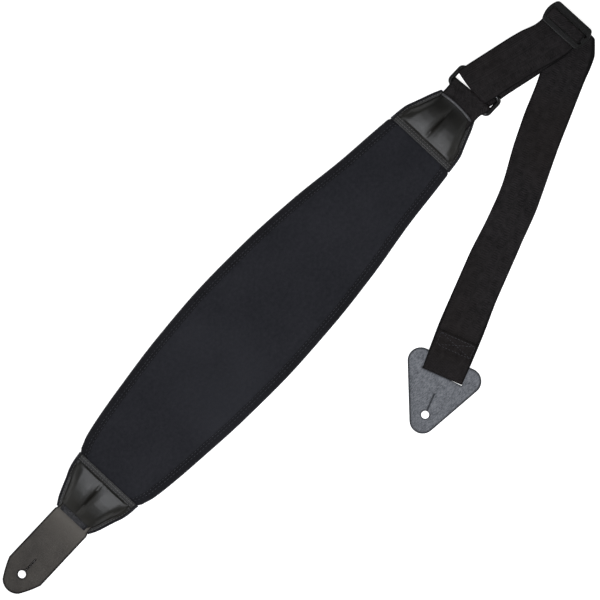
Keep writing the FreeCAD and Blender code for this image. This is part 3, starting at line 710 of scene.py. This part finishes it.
def binding_piece(name, sign):
    """The folded strip sewn round the pad's edge: over the top, round the edge, under the back."""
    over = [BOUND, 8.75, 8.4, 8.0, 7.6, 6.75, 6.0, 5.5, 5.0, 4.2, 3.3, ROUND]
    grid = []
    for x in spread(BINDING_FROM, BINDING_TO, 300):
        half = pad_half(x)
        under, top = pad_faces(x, half - ROUND)
        centre, rise = (under + top) / 2, (top - under) / 2
        row = []
        pucker = 0.05 * math.sin(x * 2 * math.pi / 3.4) + 0.07 * wobble(x, sign * 40, 9.0, 5.0)

        def put(e, z, out, up, thick):
            """A point of the strip, e inside the outline, where the strip faces out and up."""
            row.append(((x, mid(x) + sign * (half - e + out * 0.02), max(z + up * thick, 0.02)),
                        (x, mid(x) + sign * (half - e - out * 0.40), max(z + up * 0.03, 0.05)), (x, len(row) * 0.9)))

        for e in over:
            put(e, pad_faces(x, half - e)[1], 0.0, 1.0, pucker + (0.12 if e == BOUND else 0.45))
        for angle in range(66, -67, -22):
            a = math.radians(angle)
            put(ROUND - ROUND * math.cos(a), centre + rise * math.sin(a), math.cos(a), math.sin(a), 0.45)
        for e in reversed(over):
            put(e, pad_faces(x, half - e)[0], 0.0, -1.0, pucker + (0.12 if e == BOUND else 0.36))
        grid.append(row)
    return shell(name, grid, [binding_cloth], sharp=75)


def pad_stitch_rows(top=True):
    """The four rows of stitches that hold the binding, above or below."""
    rows = []
    for sign in (1, -1):
        for row in ROWS_IN:
            path = []
            for x in spread(SEAM_FROM, SEAM_TO, 200):
                n = pad_half(x) - row
                under, over = pad_faces(x, n)
                path.append((x, mid(x) + sign * n, over + 0.42 if top else max(0.25, under - 0.2)))
            rows.append(path)
    return rows


pad = pad_piece()
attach(pad, "pad")
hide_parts("pad_core", "pad_facing", "pad_backing", "inner_control_tape")
for side, sign in (("left", 1), ("right", -1)):
    edge = binding_piece("binding_" + side, sign)
    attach(edge, "pad")
    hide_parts("edge_binding_" + side)
seam = stitches("binding_stitches", pad_stitch_rows(), thread_dark, 2.3, 1.1, 0.26, 0.02)
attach(seam, "pad")
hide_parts("binding_thread")
under_seam = stitches("binding_stitches_back", pad_stitch_rows(False), thread_dark, 2.3, 1.1, 0.16, 0.0)
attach(under_seam, "pad")


# ---------- the stuffed end caps ----------

TAIL_MOUTH, HEAD_MOUTH = 65.0, 560.0
TAIL_SPAN, HEAD_SPAN = 48.0, 48.5
CREASE = 1.2  # how far left of the middle line the two lobes meet
HEM_ROWS = (43.6, 46.2)


def cap_faces(w, n, half, span):
    """Underside and top of a cap, w from its mouth along the strap, n from the middle line."""
    e = half - abs(n)
    crown = table([(0, 5.6), (6, 6.7), (12, 8.2), (18, 9.7), (24, 10.5), (28, 10.55), (32, 10.35), (36, 9.95),
                   (40, 9.35), (42, 8.9), (43, 8.0), (span, 7.9)], w)
    flange = table([(0, 3.2), (24, 3.4), (34, 5.3), (40, 6.9), (span, 7.1)], w)
    reach = half - 5.2 - (CREASE if n > CREASE else -CREASE)
    t = min(1.0, abs(n - CREASE) / max(reach, 1.0))
    lobe = (0.45 + 0.33 * ease(t, 0.0, 0.06) + 0.22 * ease(t, 0.02, 0.28)) * (1 - 0.1 * ease(t, 0.4, 0.8))
    lobe *= 1 - ease(t, 0.7, 1.0) ** 1.25
    along = ease(w, 2.0, 15.0) * (1 - ease(w, 40.9, 42.5))
    base = flange + (0.9 + (crown - flange) * 0.18) * ease(e, 4.4, 7.5)
    top = base + (crown - base) * lobe * (0.35 + 0.65 * along if w < 25 else along)
    hem = ease(w, 42.1, 42.9)
    top = top * (1 - hem) + hem * (flange + 0.75 * ease(e, 0.5, 3.0))
    top -= 0.2 * math.exp(-((w - 42.5) / 0.5) ** 2) * ease(e, 3, 6)
    top -= 0.3 * math.exp(-((e - 4.9) / 0.7) ** 2) * (1 - hem)
    for row in HEM_ROWS:
        top -= 0.07 * math.exp(-((w - row) / 0.6) ** 2) * ease(e, 2, 4)
    if e > 5:
        top += 0.09 * wobble(w, n, 9.0, 9.0) + 0.02 * wobble(w * 1.4, n * 0.7, 2.6, 4.0)
    return close_edge(0.04, top, e, 0.5 + 0.28 * flange, flange * 0.42)


def cap_piece(name, halves, mouth, way, span):
    """A stuffed leather cap with a bound edge; way is 1 where it runs from its mouth towards larger x."""
    insets = [0.0, 0.06, 0.22, 0.5, 0.95, 1.6, 2.3, 3.1, 3.9, 4.5, 4.9, 5.3, 5.9, 6.7, 7.7]
    stations = [0.0, 0.15, 0.5, 1.2] + [2.0 + 0.9 * k for k in range(40)] + [38.4 + 0.3 * k for k in range(16)]
    stations += [43.0 + 0.25 * k for k in range(16)]
    stations = sorted(set(round(w, 3) for w in stations if w < span - 0.45))
    stations += [span - back for back in (0.4, 0.15, 0.03, 0.0)]
    grid = []
    for w in stations:
        x = mouth + way * w
        half = table(halves, x)
        end = 0.42 * (1 - math.sqrt(max(0.0, 1 - (1 - min(1.0, min(w, span - w) / 0.5)) ** 2)))
        grid.append([])
        for n in across_from(half, insets, 44):
            under, over = cap_faces(w, n, half, span)
            middle = (under + over) / 2
            grid[-1].append(((x, mid(x) + n, max(over - end, middle)),
                             (x, mid(x) + n, min(under + end * 0.4, middle)), (w, n)))
    last, bound = len(grid[0]) - 2, insets.index(2.3)
    return shell(name, grid, [cap_hide, binding_cloth], lambda i, j: int(min(j, last - j) < bound), sharp=70)


def on_cap(point, halves, mouth):
    """Where a point lies on a cap: from the mouth, from the middle line and inside the outline."""
    x, y, _ = point / MM
    n = y - mid(x)
    return abs(x - mouth), n, table(halves, x) - abs(n)


def shade_cap_border(piece, halves, mouth, way):
    """Marks a cap's flat sewn border, its mouth end and, on the head cap, the lobes' half towards the mouth, as darker
    and less shiny than the stuffed lobes: painted shade.
    """
    layer = piece.data.attributes.new("rim", "FLOAT", "POINT")
    for v in piece.data.vertices:
        w, _, e = on_cap(v.co, halves, mouth)
        mouth_end = 1 - ease(w, 1.0, 7.0) if way == 1 else 1 - ease(w, 8.0, 36.0)
        border = max(1 - ease(e, 3.4, 5.4), 0.8 * ease(w, 41.5, 43.2), 0.8 * mouth_end)
        # Painted shade: darker and duller on the border, the mouth end and the head cap's lobes towards the mouth.
        layer.data[v.index].value = 0.62 * border


CLOTH = dict(quality=6, mass=0.25, tension_stiffness=18, compression_stiffness=6, shear_stiffness=5,
             bending_stiffness=0.35, use_pressure=True, uniform_pressure_force=2.5, vertex_group_mass="held",
             pin_stiffness=1.0, shrink_min=-0.035)
FRAMES = 20
MOST = 1.2 * MM  # the most that a point of a lobe moves


def swell(piece, halves, mouth):
    """Blows the stuffed lobes up as cloth held at its seams, then keeps the swollen shape."""
    mesh = piece.data
    group = piece.vertex_groups.new(name="held")
    before = [v.co.copy() for v in mesh.vertices]
    for v in mesh.vertices:
        w, n, e = on_cap(v.co, halves, mouth)
        free = ease(e, 5.2, 8.5) * ease(abs(n - CREASE), 0.5, 3.0) * ease(w, 2.0, 7.0) * (1 - ease(w, 38.5, 41.6))
        on_top = v.index < len(before) // 2
        group.add([v.index], 1.0 - free if on_top else 1.0, "REPLACE")
    cloth = piece.modifiers.new("swell", "CLOTH")
    for key, value in CLOTH.items():
        setattr(cloth.settings, key, value)
    cloth.settings.effector_weights.gravity = 0.0
    cloth.collision_settings.use_collision = False
    cloth.collision_settings.use_self_collision = False
    cloth.point_cache.frame_start, cloth.point_cache.frame_end = 1, FRAMES
    for number in range(1, FRAMES + 1):
        scene.frame_set(number)
    depsgraph = bpy.context.evaluated_depsgraph_get()
    swollen = [v.co.copy() for v in piece.evaluated_get(depsgraph).to_mesh().vertices]
    piece.modifiers.remove(cloth)
    scene.frame_set(1)
    moves = [new - old for old, new in zip(before, swollen)]
    near = [[] for _ in before]
    for e in mesh.edges:
        a, b = e.vertices
        near[a].append(b)
        near[b].append(a)
    for _ in range(4):
        moves = [(m + sum((moves[k] for k in near[i]), Vector())) / (1 + len(near[i])) for i, m in enumerate(moves)]
    for v, old, move in zip(mesh.vertices, before, moves):
        v.co = old + move * (MOST * math.tanh(move.length / MOST) / max(move.length, 1e-9))
    piece.vertex_groups.remove(group)
    mesh.update()


for prefix, halves, mouth, way, span in (("tail", TAIL_HALF, TAIL_MOUTH, 1, TAIL_SPAN),
                                         ("head", HEAD_HALF, HEAD_MOUTH, -1, HEAD_SPAN)):
    cap = cap_piece(prefix + "_cap", halves, mouth, way, span)
    shade_cap_border(cap, halves, mouth, way)
    swell(cap, halves, mouth)
    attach(cap, "pad")
    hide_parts(prefix + "_cap_back", prefix + "_cap_front", prefix + "_cap_pillows")
    rows = []
    for w in HEM_ROWS:
        x = mouth + way * w
        half = table(halves, x)
        rows.append([(x, mid(x) + n, cap_faces(w, n, half, span)[1] + 0.08)
                     for n in spread(half - 2.4, 2.4 - half, 60)])
    for sign in (1, -1):
        path = []
        for w in spread(1.5, 40.5, 80):
            x = mouth + way * w
            half = table(halves, x)
            path.append((x, mid(x) + sign * (half - 3.0), cap_faces(w, half - 3.0, half, span)[1] + 0.1))
        rows.append(path)
    row = stitches(prefix + "_cap_stitches", rows, thread_cap, 1.9, 0.8, 0.2, 0.02)
    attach(row, "pad")
    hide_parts(prefix + "_cap_thread")


# ---------- leather outlines ----------

def on_circle(x, y, radius, angles):
    return [(x + radius * math.cos(a), y + radius * math.sin(a)) for a in angles]


def arc_through(a, b, c, count):
    """Points on the circle through three points, from a towards c, without c."""
    (ax, ay), (bx, by), (cx, cy) = a, b, c
    d = 2 * (ax * (by - cy) + bx * (cy - ay) + cx * (ay - by))
    ox = ((ax * ax + ay * ay) * (by - cy) + (bx * bx + by * by) * (cy - ay) + (cx * cx + cy * cy) * (ay - by)) / d
    oy = ((ax * ax + ay * ay) * (cx - bx) + (bx * bx + by * by) * (ax - cx) + (cx * cx + cy * cy) * (bx - ax)) / d
    r = math.hypot(ax - ox, ay - oy)
    first = math.atan2(ay - oy, ax - ox)
    turn = (math.atan2(cy - oy, cx - ox) - first) % (2 * math.pi)
    if (math.atan2(by - oy, bx - ox) - first) % (2 * math.pi) > turn:
        turn -= 2 * math.pi
    return on_circle(ox, oy, r, spread(first, first + turn, count)[:-1])


def round_corners(points, radius, count=12):
    """A closed outline with an arc at every corner."""
    out = []
    for i, p in enumerate(points):
        corner = Vector(p)
        back = (Vector(points[i - 1]) - corner).normalized()
        on = (Vector(points[(i + 1) % len(points)]) - corner).normalized()
        half = back.angle(on) / 2
        reach = radius / math.tan(half)
        centre = corner + (back + on).normalized() * (radius / math.sin(half))
        first, last = corner + back * reach - centre, corner + on * reach - centre
        a = math.atan2(first.y, first.x)
        turn = (math.atan2(last.y, last.x) - a + math.pi) % (2 * math.pi) - math.pi
        out += on_circle(centre.x, centre.y, radius, spread(a, a + turn, count))
    return out


def keyhole(centre_x, radius, slit_end):
    """A round hole with a slit on one side, clockwise."""
    way = 1 if slit_end > centre_x else -1
    half = 0.015  # half the slit's width
    opening = math.asin(half / radius)
    reach = abs(slit_end - centre_x)
    loop = on_circle(0.0, 0.0, radius, spread(-opening, opening - 2 * math.pi, 40))
    slit = spread(loop[-1][0], reach - half, 14)[1:]
    loop += [(x, half) for x in slit]
    loop += [(reach - half * 0.3, half * 0.7), (reach, 0.0), (reach - half * 0.3, -half * 0.7)]
    loop += [(x, -half) for x in reversed(slit)]
    loop = [(centre_x + way * x, y) for x, y in loop]
    return loop if way == 1 else loop[::-1]


# ---------- the tail tab ----------

KEYHOLE = 3.5  # the radius of both button holes


def tail_rise(x):
    """How far the tab's underside is off the floor, to lie over the cap's back panel."""
    return 1.35 * ease(x, 40, 61)


tail_outline = [(96.0, -16.8), (96.0, 16.8), (67.0, 16.8), (62.5, 18.7), (4.0, 18.8)]
tail_outline += arc_through((4, 18.8), (-6.5, 14.2), (-14.5, 9.6), 14)[1:]
tail_outline += arc_through((-14.5, 9.6), (-18.6, 0), (-14.5, -9.6), 18)
tail_outline += arc_through((-14.5, -9.6), (-6.5, -14.2), (4, -18.8), 14)
tail_outline += [(4.0, -18.8), (62.5, -18.7), (67.0, -16.8)]
tail_tab = plate(
    "tail_tab_leather", even(tail_outline, 1.0), [even(keyhole(0.0, KEYHOLE, 17.5), 0.4)],
    lambda x, y: 3.0 + tail_rise(x) + 0.10 * wobble(x, y, 13.0, 3.0) - 0.14 * math.exp(-((x - 62.5) / 2.2) ** 2),
    lambda x, y: tail_rise(x) + 0.02, tab_hide, (0.0, 0.0, 0.0), edge=0.42, rim_width=2.0)
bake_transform(tail_tab)
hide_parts("tail_tab", "tail_tab_root")

hem_rows = []
for y in spread(-13.4, 15.4, 28):
    n = y - mid(67.0)
    near, far = (cap_faces(w, n, table(TAIL_HALF, TAIL_MOUTH + w), TAIL_SPAN)[1] + 0.5 for w in (0.9, 4.9))
    hem_rows.append(((69.8, y, far), (TAIL_MOUTH, y, near)))
hem = ribbon("tail_cap_hem_strip", hem_rows, hem_hide, 0.8)
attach(hem, "pad")
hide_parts("tail_cap_hem")


def tube(name, path, radius, material):
    """A round strip along a path, with rounded ends."""
    count = 14
    points = []
    path = [Vector(p) for p in path]
    for i, p in enumerate(path):
        run = (path[min(i + 1, len(path) - 1)] - path[max(i - 1, 0)]).normalized()
        side = run.cross(Vector((0, 0, 1))).normalized()
        up = side.cross(run)
        end = min(i, len(path) - 1 - i)
        r = radius * (1.0 if end > 2 else (0.45, 0.75, 0.93)[end])
        points += [tuple(p + side * r * math.cos(2 * math.pi * k / count) + up * r * math.sin(2 * math.pi * k / count))
                   for k in range(count)]
    return make(name, points, tube_faces(0, len(points), count), [material])


bead = []
for y in spread(19.8, -15.4, 40):
    x = 559.0 - 0.0055 * (y - 3.5) ** 2
    bead.append((x, y, cap_faces(HEAD_MOUTH - x, y - mid(x), table(HEAD_HALF, x), HEAD_SPAN)[1] + 0.55))
piping = tube("head_cap_piping_bead", bead, 1.15, piping_hide)
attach(piping, "pad")
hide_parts("head_cap_piping")


# ---------- webbing from the head cap round the ring ----------

FLAT = 0.68  # the height of the middle of webbing that lies on the floor
ANCHOR_Y = 1.2
ANCHOR_HALF = 19.0

loop_path = rounded([(537, 2.0), (557, 2.0), (566, FLAT), (576.8, FLAT), (576.8, 6.5), (567.5, 6.5), (558.5, 3.4),
                     (537, 3.4)], 2.4, 0.5, 3.0)


def gathered(i, t):
    """The loop leans back on its left and is drawn in at both edges where it goes round the ring."""
    x = loop_path[i][0]
    lean = -1.0 * ease(x, 571, 576.5) * (1 - ease(t, 0.0, 0.5))
    return lean, ease(x, 565, 574) * (1 - ease(t, 0.0, 0.2) - 3.2 * ease(t, 0.75, 1.0)), 0.0


anchor = ribbon("anchor_webbing", sides(loop_path, lambda x, z, n: (x, ANCHOR_Y + n, z), ANCHOR_HALF), webbing,
                warp=gathered)
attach(anchor, "pad")
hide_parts("anchor_loop", "anchor_root")


# ---------- the adjuster: ring, two layers, slider ----------

START = (587.9, 0.3)  # on the ring's bar
HEADING = -14.1
GLIDE = (675.0, -19.2)  # the slider's middle
GLIDE_TURN = 1.0
STRAIGHT, BEFORE_GLIDE = 52.0, 12.0  # the straight stretches before and after the bend
PULL = 8.5
ADJUSTER_HALF = 18.9
BEND_STEPS = 24


def bezier(a, b, c, d, t):
    shares = ((1 - t) ** 3, 3 * t * (1 - t) ** 2, 3 * t * t * (1 - t), t ** 3)
    return tuple(sum(f * p[k] for f, p in zip(shares, (a, b, c, d))) for k in (0, 1))


bend_start, bend_end = turned(HEADING, STRAIGHT, 0, START), turned(GLIDE_TURN, -BEFORE_GLIDE, 0, GLIDE)
pulls = turned(HEADING, PULL, 0, bend_start), turned(GLIDE_TURN, -PULL, 0, bend_end)
bend = [bezier(bend_start, *pulls, bend_end, k / BEND_STEPS) for k in range(BEND_STEPS + 1)]
bend_marks = lengths(bend)
G = STRAIGHT + bend_marks[-1] + BEFORE_GLIDE  # how far along the webbing the slider's middle is


def adjuster_point(s, n):
    """The plan position of a distance along the adjuster webbing, which turns a little before the slider."""
    if s < STRAIGHT + 1.2:
        s -= (0.118 * n + 0.7) * (1 - ease(s, -2, 16))
        return turned(HEADING, s, n, START)
    over = s - STRAIGHT
    if over > bend_marks[-1]:
        return turned(GLIDE_TURN, s - G, n, GLIDE)
    i = max(k for k in range(BEND_STEPS) if bend_marks[k] <= over)
    t = (over - bend_marks[i]) / (bend_marks[i + 1] - bend_marks[i])
    centre = Vector(bend[i]).lerp(Vector(bend[i + 1]), t)
    turn = HEADING + (GLIDE_TURN - HEADING) * ease((i + t) / BEND_STEPS)
    return turned(turn, 0, n, tuple(centre))


SLIP_FRONT = [(0, 1.8), (38, 1.8), (58, 1.05), (72, 0.65), (84, 0.0), (110, 0.0)]


def slip(s, z):
    """The two layers lie a little apart sideways, and the webbing sits at one end of the slider's slots."""
    front = ease(z, 2.1, 4.7)
    apart = front * table(SLIP_FRONT, s) - 1.4 * (1 - front) * (1 - ease(s, 40, 72))
    at_ring = -0.6 * (1 - ease(s, -2, 16)) * (1 - front)
    return apart + at_ring + 0.95 * ease(s, G - 34, G - 14)


LOWER, SEWN, UPPER = 2.07, 3.42, 4.84  # the heights of the three layers in front of the slider
INNER, OUTER = 2.95, 4.4  # how far the two wraps round the middle bar stand off its middle
INNER_TOP, OUTER_TOP = 8.95, 10.35
adjuster_path = rounded([
    (G - 28, SEWN), (G - INNER, SEWN), (G - INNER, INNER_TOP), (G + INNER, INNER_TOP), (G + INNER, LOWER),
    (G - 30, LOWER), (15, LOWER), (4.6, FLAT), (-8.0, FLAT), (-8.0, 6.5), (8, 6.5), (28, UPPER), (G - OUTER, UPPER),
    (G - OUTER, OUTER_TOP), (G + OUTER, OUTER_TOP), (G + OUTER, 3.4), (G + 6.4, 3.4)], 1.6, 0.5, 3.0)


def on_adjuster(s, z, n):
    """A point of the adjuster; its upper layer isn't quite flat."""
    x, y = adjuster_point(s, n + slip(s, z))
    return x, y, z + (0.12 * wobble(x, y, 16.0, 8.0) if 12 < s < 60 and z > 4 else 0.0)


adjuster_stations = sides(adjuster_path, on_adjuster, ADJUSTER_HALF)
adjuster = ribbon("adjuster_webbing", adjuster_stations, webbing,
                  warp=lambda i, t: (-1.6 * (1 - ease(adjuster_path[i][0], -6, 10)) * 4 * t * (1 - t), 0.0, 0.0))
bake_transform(adjuster)
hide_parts("ring_wrap", "adjuster_front_layer", "adjuster_back_layer", "sewn_end_loop", "webbing_over_bar")

tack_rows = [[(*turned(GLIDE_TURN, s, n, GLIDE), 4.13) for n in spread(17, -17, 20)] for s in (-26.0, -22.0, -18.0)]
tack = stitches("sewn_end_stitches", tack_rows, thread_cap, 2.0, 0.7, 0.09, 0.0)
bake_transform(tack)
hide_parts("bar_tack")

for node, material in (("ring", ring_enamel), ("glide", slider_plastic)):
    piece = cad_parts[node]
    piece.data.materials.clear()
    piece.data.materials.append(material)


# ---------- the fold and the long run ----------

FOLD = (681.497, -24.687)
FOLD_HEADING = 93.0
RUN_HEADING, HEAD_HEADING = 204.6, 199.4
CURVE_FROM, CURVE_LENGTH = 162.3, 45.4  # where the run turns from the one heading to the other
END = 328.2  # the run's length
RUN_HALF = 18.8
SLANT = math.tan(math.radians(RUN_HEADING - 180 - (FOLD_HEADING - 90)))

track = []
x, y = FOLD
for tenth in range(3301):
    share = min(1.0, max(0.0, (tenth / 10 - CURVE_FROM) / CURVE_LENGTH))
    turn = RUN_HEADING + (HEAD_HEADING - RUN_HEADING) * share
    track.append((x, y, turn))
    x, y = turned(turn, 0.1, 0, (x, y))


def run_point(d, n):
    """The plan position of a distance along the run, and sideways."""
    tenth = min(len(track) - 1, max(0, round(d * 10)))
    x, y, turn = track[tenth]
    return turned(turn, d - tenth / 10, n, (x, y))


DRIFT_LEFT = [(0, 1.5), (8, 4.0), (17, 5.8), (28, 5.6), (45, 4.3), (80, 2.5), (110, 1.1), (160, 0.4), (198, -1.8),
              (245, -1.8), (287, 0.0), (310, 0.2), (328, 0.0)]
DRIFT_RIGHT = [(0, 0.0), (55, 2.5), (92, 0.7), (114, 0.6), (150, 2.1), (181, 0.1), (225, -2.6), (280, -2.6),
               (306, -1.5), (328, 0.0)]


def drift(d, n):
    """How far the slack webbing's edge lies to the left of its straight course."""
    return table(DRIFT_LEFT if n > 0 else DRIFT_RIGHT, d)


def run_edge(d, n):
    """The plan position of a point of the run, slanted at the fold and drifting off its course."""
    return run_point(d + n * SLANT * (1 - ease(d, 0, 46)), n + drift(d, n))


ROLL = 1.36  # the radius of the fold
roll = []
for t in spread(0.0, 1.0, 16):
    a = math.radians(90 - 180 * t)
    shift = Vector(turned(FOLD_HEADING - 90, ROLL * math.cos(a)))
    pair = []
    for top_point, side in zip(adjuster_stations[-1], (-RUN_HALF, RUN_HALF)):
        low_point = turned(RUN_HEADING, side * SLANT, side + drift(0, side), FOLD)
        base = Vector(top_point[:2]).lerp(Vector(low_point), ease(t)) + shift
        pair.append((base.x, base.y, 2.02 + ROLL * math.sin(a)))
    roll.append(tuple(pair))
fold = ribbon("webbing_fold_roll", roll, webbing)
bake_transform(fold)
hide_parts("webbing_fold")

HEAD_START = 30.0  # where the head end's piece takes over, before the run's end


def on_run(d, z, n):
    """A point of the run, with the ripples of slack webbing."""
    x, y = run_edge(d, n)
    return x, y, z + 0.04 * (1 + wobble(x, y, 24.0, 6.0)) * ease(d, 20, 60) * (1 - ease(d, END - 70, END - 40))


RUN_STEP = 2.5
run_path = [(RUN_STEP * k, FLAT) for k in range(math.ceil((END - HEAD_START) / RUN_STEP))]
run = ribbon("long_webbing_run", sides(run_path, on_run, RUN_HALF), webbing)
a, b = run_point(8, 0), run_point(199, 0)
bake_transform(run)
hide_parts("long_run_near", "long_run")


# ---------- the head end: flap, box stitch, suede tab ----------

SUEDE = 2.56  # the suede tab's thickness
HEAD = (*run_point(END, 0), HEAD_HEADING)
FLAP_FOOT, FLAP_FOOT_Z = -28.0, 2.05  # where the folded-back end comes down onto the run
# The last stretch, from -35.2 to -37.2, takes the near-black end material: painted shadow along the flap's cut edge.
head_path = rounded([(-HEAD_START - 0.5, FLAT), (0.26, FLAT), (0.26, 4.74), (-17.0, 4.70), (FLAP_FOOT, FLAP_FOOT_Z),
                     (-35.2, 2.33), (-37.2, 2.4)], 1.3, 0.45, 2.5)


def on_head_end(q, z, n):
    """A point at height z, at a distance from the tab's slot and sideways."""
    return (*turned(HEAD_HEADING, q, n, HEAD[:2]), z)


head_stations = sides(head_path, lambda q, z, n: on_head_end(q, z, n + drift(END + q, n)), RUN_HALF)
head_webbing = ribbon("head_end_webbing", head_stations, webbing, cut=sealed_end_shadow_webbing)
a, b = turned(HEAD_HEADING, -22.5, 0, HEAD[:2]), turned(HEAD_HEADING, -12.5, 0, HEAD[:2])
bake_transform(head_webbing)
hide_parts("end_flap", "tab_wrap")

box = [(-34.5, -16), (-34.5, 16), (-23.0, 16), (-23.0, -16)]
box_rows = [(box[i], box[(i + 1) % 4]) for i in range(4)] + [(box[0], box[2]), (box[1], box[3])]


def on_flap(q, n):
    """A point on top of the folded-back end."""
    past = q - FLAP_FOOT
    return on_head_end(q, FLAP_FOOT_Z + 0.64 + past * (0.241 if past > 0 else -0.041), n)


box_paths = [[on_flap(q, n) for q, n in zip(spread(a[0], b[0], 20), spread(a[1], b[1], 20))] for a, b in box_rows]
box_stitch = stitches("box_stitches", box_paths, thread_dark, 2.1, 0.9, 0.24, 0.05)
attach(box_stitch, "long_strap")
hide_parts("box_thread")


def suede_low(q, n):
    """The suede tab's underside: over the webbing at its slot, down on the floor at its tip and corners."""
    return (1.42 * (1 - ease(q, 3, 24)) + 0.02) * (1 - 0.75 * ease(abs(n), 21, 36) * (1 - ease(q, 2, 10)))


triangle = round_corners([(-16.0, 40.9), (-16.0, -40.9), (69.7, 0.0)], 11.5)
slot_loop = round_corners([(-0.5, -18.7), (-0.5, 19.0), (1.5, 19.0), (0.7, 5.0), (0.7, -18.7)], 0.5, 4)
head_tab = plate(
    "head_tab_suede", even(triangle, 1.1), [even(keyhole(37.5, KEYHOLE, 18.0), 0.4), even(slot_loop, 1.1)],
    lambda q, n: suede_low(q, n) + SUEDE + 0.12 * wobble(q, n, 12.0, 1.0),
    suede_low, suede, HEAD, edge=0.5, rim_width=2.1)
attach(head_tab, "head_tab")
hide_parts("head_tab")


# ---------- camera, light, floor ----------

camera = bpy.data.objects.new("camera", bpy.data.cameras.new("camera"))
scene.collection.objects.link(camera)
camera.data.lens = 343.0
camera.data.sensor_width = 36.0
camera.location = (0.3412, -0.0133, 5.0)
camera.rotation_euler = (0.0, 0.0, math.radians(-46.84))
camera.data.clip_end = 50.0
scene.camera = camera

floor_mesh = bpy.data.meshes.new("floor")
floor_mesh.from_pydata([(-4, -4, -0.0003), (4, -4, -0.0003), (4, 4, -0.0003), (-4, 4, -0.0003)], [], [(0, 1, 2, 3)])
floor = bpy.data.objects.new("floor", floor_mesh)
scene.collection.objects.link(floor)
floor_paint = Paint("floor_paper")
floor_mesh.materials.append(floor_paint.finish(
    Base_Color=floor_paint.mix(floor_paint.noise(3.0, 2), (0.55, 0.55, 0.55), (0.58, 0.58, 0.58)), Roughness=0.9,
    Specular_IOR_Level=0.1, Emission_Color=(1.0, 1.0, 1.0, 1.0), Emission_Strength=0.85))


def softbox(name, place, aim, width, height, power, colour=(1.0, 1.0, 1.0)):
    """A rectangular lamp that looks at aim."""
    light = bpy.data.lights.new(name, "AREA")
    light.shape = "RECTANGLE"
    light.size, light.size_y = width, height
    light.energy = power
    light.color = colour
    lamp = bpy.data.objects.new(name, light)
    lamp.location = place
    lamp.rotation_euler = (Vector(aim) - Vector(place)).to_track_quat("-Z", "Y").to_euler()
    scene.collection.objects.link(lamp)


softbox("overhead", (0.27, -0.08, 1.0), (0.29, 0.0, 0.0), 0.26, 0.26, 7.6, (0.93, 0.95, 1.0))
softbox("side_left", (-1.7, 1.4, 1.5), (0.3, 0.0, 0.0), 1.6, 1.2, 16.0)
softbox("side_right", (2.2, -1.5, 1.6), (0.3, 0.0, 0.0), 1.6, 1.2, 14.0)
world = bpy.data.worlds.new("room")
world.use_nodes = True
world.node_tree.nodes["Background"].inputs[0].default_value = (1.0, 1.0, 1.0, 1.0)
world.node_tree.nodes["Background"].inputs[1].default_value = 0.22
scene.world = world
scene.view_settings.view_transform = "Standard"
